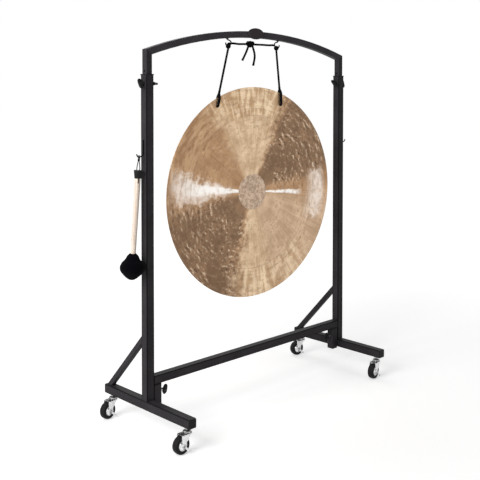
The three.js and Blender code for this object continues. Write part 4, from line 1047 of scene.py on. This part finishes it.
def stem_shells():
    """The stem with its domed cap over the race, the head under the crown and the nut under the foot."""
    head_top, cap = CROWN_BOTTOM - SEAT_GAP, RACE_TOP + SEAT_GAP
    nut_low, end = FOOT_HEIGHT - SEAT_GAP - NUT_HEIGHT, FOOT_HEIGHT + STEM_IN_FOOT
    profile = [
        (0, head_top - 0.0045), (0.0065, head_top - 0.0045), (0.008, head_top - 0.003), (0.008, head_top),
        (0.005, head_top), (0.005, cap), (0.0175, cap), (0.018, cap + 0.0006), (0.018, cap + 0.0026),
        (0.0172, cap + 0.0037), (0.0120, cap + 0.0058), (0.0082, cap + 0.0077), (0.008, cap + 0.0085),
        (0.008, nut_low), (0.005, nut_low), (0.005, end), (0, end),
    ]
    return [turned(profile, 48, UPRIGHT), hexagon(0.019, NUT_HEIGHT, UPRIGHT, (0, 0, nut_low))]


def race_shell():
    """The pressed cup that holds the balls, a closed ring on the crown."""
    foot = CROWN_TOP - 0.0005
    profile = [
        (0.0053, foot), (0.0053, RACE_TOP), (0.0137, RACE_TOP),
        (0.0156, RACE_TOP - 0.0008), (0.016, RACE_TOP - 0.0022), (0.016, foot),
    ]
    return turned(profile + profile[:1], 48, UPRIGHT)


def axle_shells():
    """The bolt, with its head outside the brake lever on the front side and its nut on the other."""
    head_start, nut_start = FORK_OUTER + 2 * SEAT_GAP + FORK_PLATE, FORK_OUTER + SEAT_GAP
    pin = [(0, -head_start), (0.004, -head_start), (0.004, nut_start + 0.004)]
    pin += [(0.0034, nut_start + 0.005), (0, nut_start + 0.005)]
    return [
        turned(pin, 32, ALONG_Y, AXLE_AT),
        hexagon(0.013, 0.005, FORWARD, (AXLE_AT[0], -head_start, AXLE_AT[2])),
        hexagon(0.013, 0.005, ALONG_Y, (AXLE_AT[0], nut_start, AXLE_AT[2])),
    ]


BRAKE_LENGTH = 0.044
BRAKE_HALF_WIDTH = 0.0045
BRAKE_EYE = 0.008
BRAKE_DROOP = math.radians(44)


def brake_shells():
    """A lever plate with a round eye and a foot tab bent out near its end, drawn along +X and drooped."""
    eye_turn = np.linspace(math.radians(46), math.radians(314), 24)
    eye = np.stack([BRAKE_EYE * np.cos(eye_turn), BRAKE_EYE * np.sin(eye_turn)], 1)
    half, tip = BRAKE_HALF_WIDTH, BRAKE_LENGTH
    blade = [(0.014, 0.0002 - half), (0.028, 0.0001 - half), (tip - half, -half)]
    blade += [(tip - 0.0015, 0.002 - half), (tip, 0)]
    outline = np.vstack([eye, blade, [(x, -y) for x, y in blade[-2::-1]]])
    plate, plate_faces = pillow(outline, FORK_PLATE, 0.0006)
    corner = half - 0.002
    tab_outline = [(-half, 0), (half, 0), (half, 0.005), (corner, 0.007), (-corner, 0.007), (-half, 0.005)]
    tab, tab_faces = pillow(tab_outline, FORK_PLATE, 0.0006)
    tab = np.stack([tip - 2 * half + tab[:, 2], tab[:, 0], tab[:, 1]], 1)
    laid = []
    for points, faces in ((plate, plate_faces), (tab, tab_faces)):
        x, z, depth = points.T
        z, x = spun(z, x, BRAKE_DROOP)
        y = -depth - FORK_OUTER - SEAT_GAP
        laid.append((np.stack([AXLE_AT[0] + x, y, AXLE_AT[2] + z], 1), faces))
    return laid


# The fork's crown top is darkened as painted reflection of the black foot above it.
plate_zinc = plated("stamped_zinc", 0.62, 0.80, reflection_dark_above=CROWN_TOP - 0.0016)
# Dark zinc: on the race and the stem under the foot, its darkness is painted shade and dark reflection.
dark_zinc = plated("dark_zinc", 0.10, 0.62, 230)
caster_pieces = [
    ("tyre_moulded", [tyre_shell()], "{}_wheel", "tyre_rubber", "tyre", tyre_rubber),
    ("hub_turned", [hub_shell()], "{}_wheel", "zinc", "hub", zinc),
    ("fork_stamped", [fork_shell()], "{}_swivel", "zinc", "fork", plate_zinc),
    ("ball_race", [race_shell()], "{}_swivel", "zinc", "fork", dark_zinc),
    ("stem_turned", stem_shells(), "frame", "zinc", "stem", dark_zinc),
    ("axle_bolt", axle_shells(), "{}_swivel", "zinc", "axle", dark_zinc),
    ("brake_lever", brake_shells(), "{}_brake", "zinc", "brake", plate_zinc),
]
for corner in CORNERS:
    for kind, parts, body, slot, node, finish in caster_pieces:
        name, names = f"{corner}_caster_{kind}", [f"{corner}_caster_{node}"]
        piece = build_piece(name, at_corner(parts, corner), body.format(corner), names)
        if kind == "fork_stamped":
            wall = piece.modifiers.new("plate", "SOLIDIFY")
            wall.thickness, wall.offset = FORK_PLATE, 0
        paint(finish, piece)


# Studio: a plain pale floor and a white surround, with three soft lamps. The
# floor keeps the stand's shadow.
HALF_FLOOR = 15
GLOW_NEAR, GLOW_FAR, GLOW_STRENGTH = 0.6, 5.0, 0.80
GLOW_COLOUR = (0.58, 0.58, 0.58)
SKY_LIGHT = 0.25
floor_mesh = bpy.data.meshes.new("floor")
floor_corners = [(x * HALF_FLOOR, y * HALF_FLOOR, 0) for x, y in ((-1, -1), (1, -1), (1, 1), (-1, 1))]
floor_mesh.from_pydata(floor_corners, [], [(0, 1, 2, 3)])
floor = bpy.data.objects.new("floor", floor_mesh)
bpy.context.collection.objects.link(floor)
floor_tone = (0.86, 0.86, 0.86)
floor_paint = Finish("pale_floor", Base_Color=floor_tone, Roughness=0.9, Specular_IOR_Level=0.0)
floor_spot = floor_paint.place()
away = floor_paint.node("ShaderNodeVectorMath", {"operation": "LENGTH"}, {0: floor_spot}, output=1)
floor_glow = floor_paint.mix(floor_paint.span(away, GLOW_NEAR, GLOW_FAR), GLOW_COLOUR, (1, 1, 1))
floor_paint.set("Emission Color", floor_glow)
floor_paint.set("Emission Strength", floor_paint.seen() * GLOW_STRENGTH)
floor_mesh.materials.append(floor_paint.owner)

sky = Finish("studio", bpy.data.worlds, "Background", Color=(1, 1, 1))
sky.set("Strength", sky.seen() * (1 - SKY_LIGHT) + SKY_LIGHT)
bpy.context.scene.world = sky.owner

LAMPS = {
    "key": ((-4.0, -0.4, 2.6), (0, 0, 0.9), 2.6, 150),
    "fill": ((1.5, -4.2, 2.2), (0, 0, 0.9), 3.0, 8),
    "back": ((1.0, 3.0, 3.6), (0, 0, 1.0), 3.0, 45),
}
for name, (place, target, size, power) in LAMPS.items():
    lamp_data = bpy.data.lights.new(name, "AREA")
    lamp_data.shape, lamp_data.size, lamp_data.energy = "SQUARE", size, power
    lamp = bpy.data.objects.new(name, lamp_data)
    lamp.location = place
    aim = np.subtract(target, place)
    flat = math.hypot(aim[0], aim[1])
    lamp.rotation_euler = (math.pi / 2 + math.atan2(aim[2], flat), 0, math.atan2(-aim[0], aim[1]))
    bpy.context.collection.objects.link(lamp)
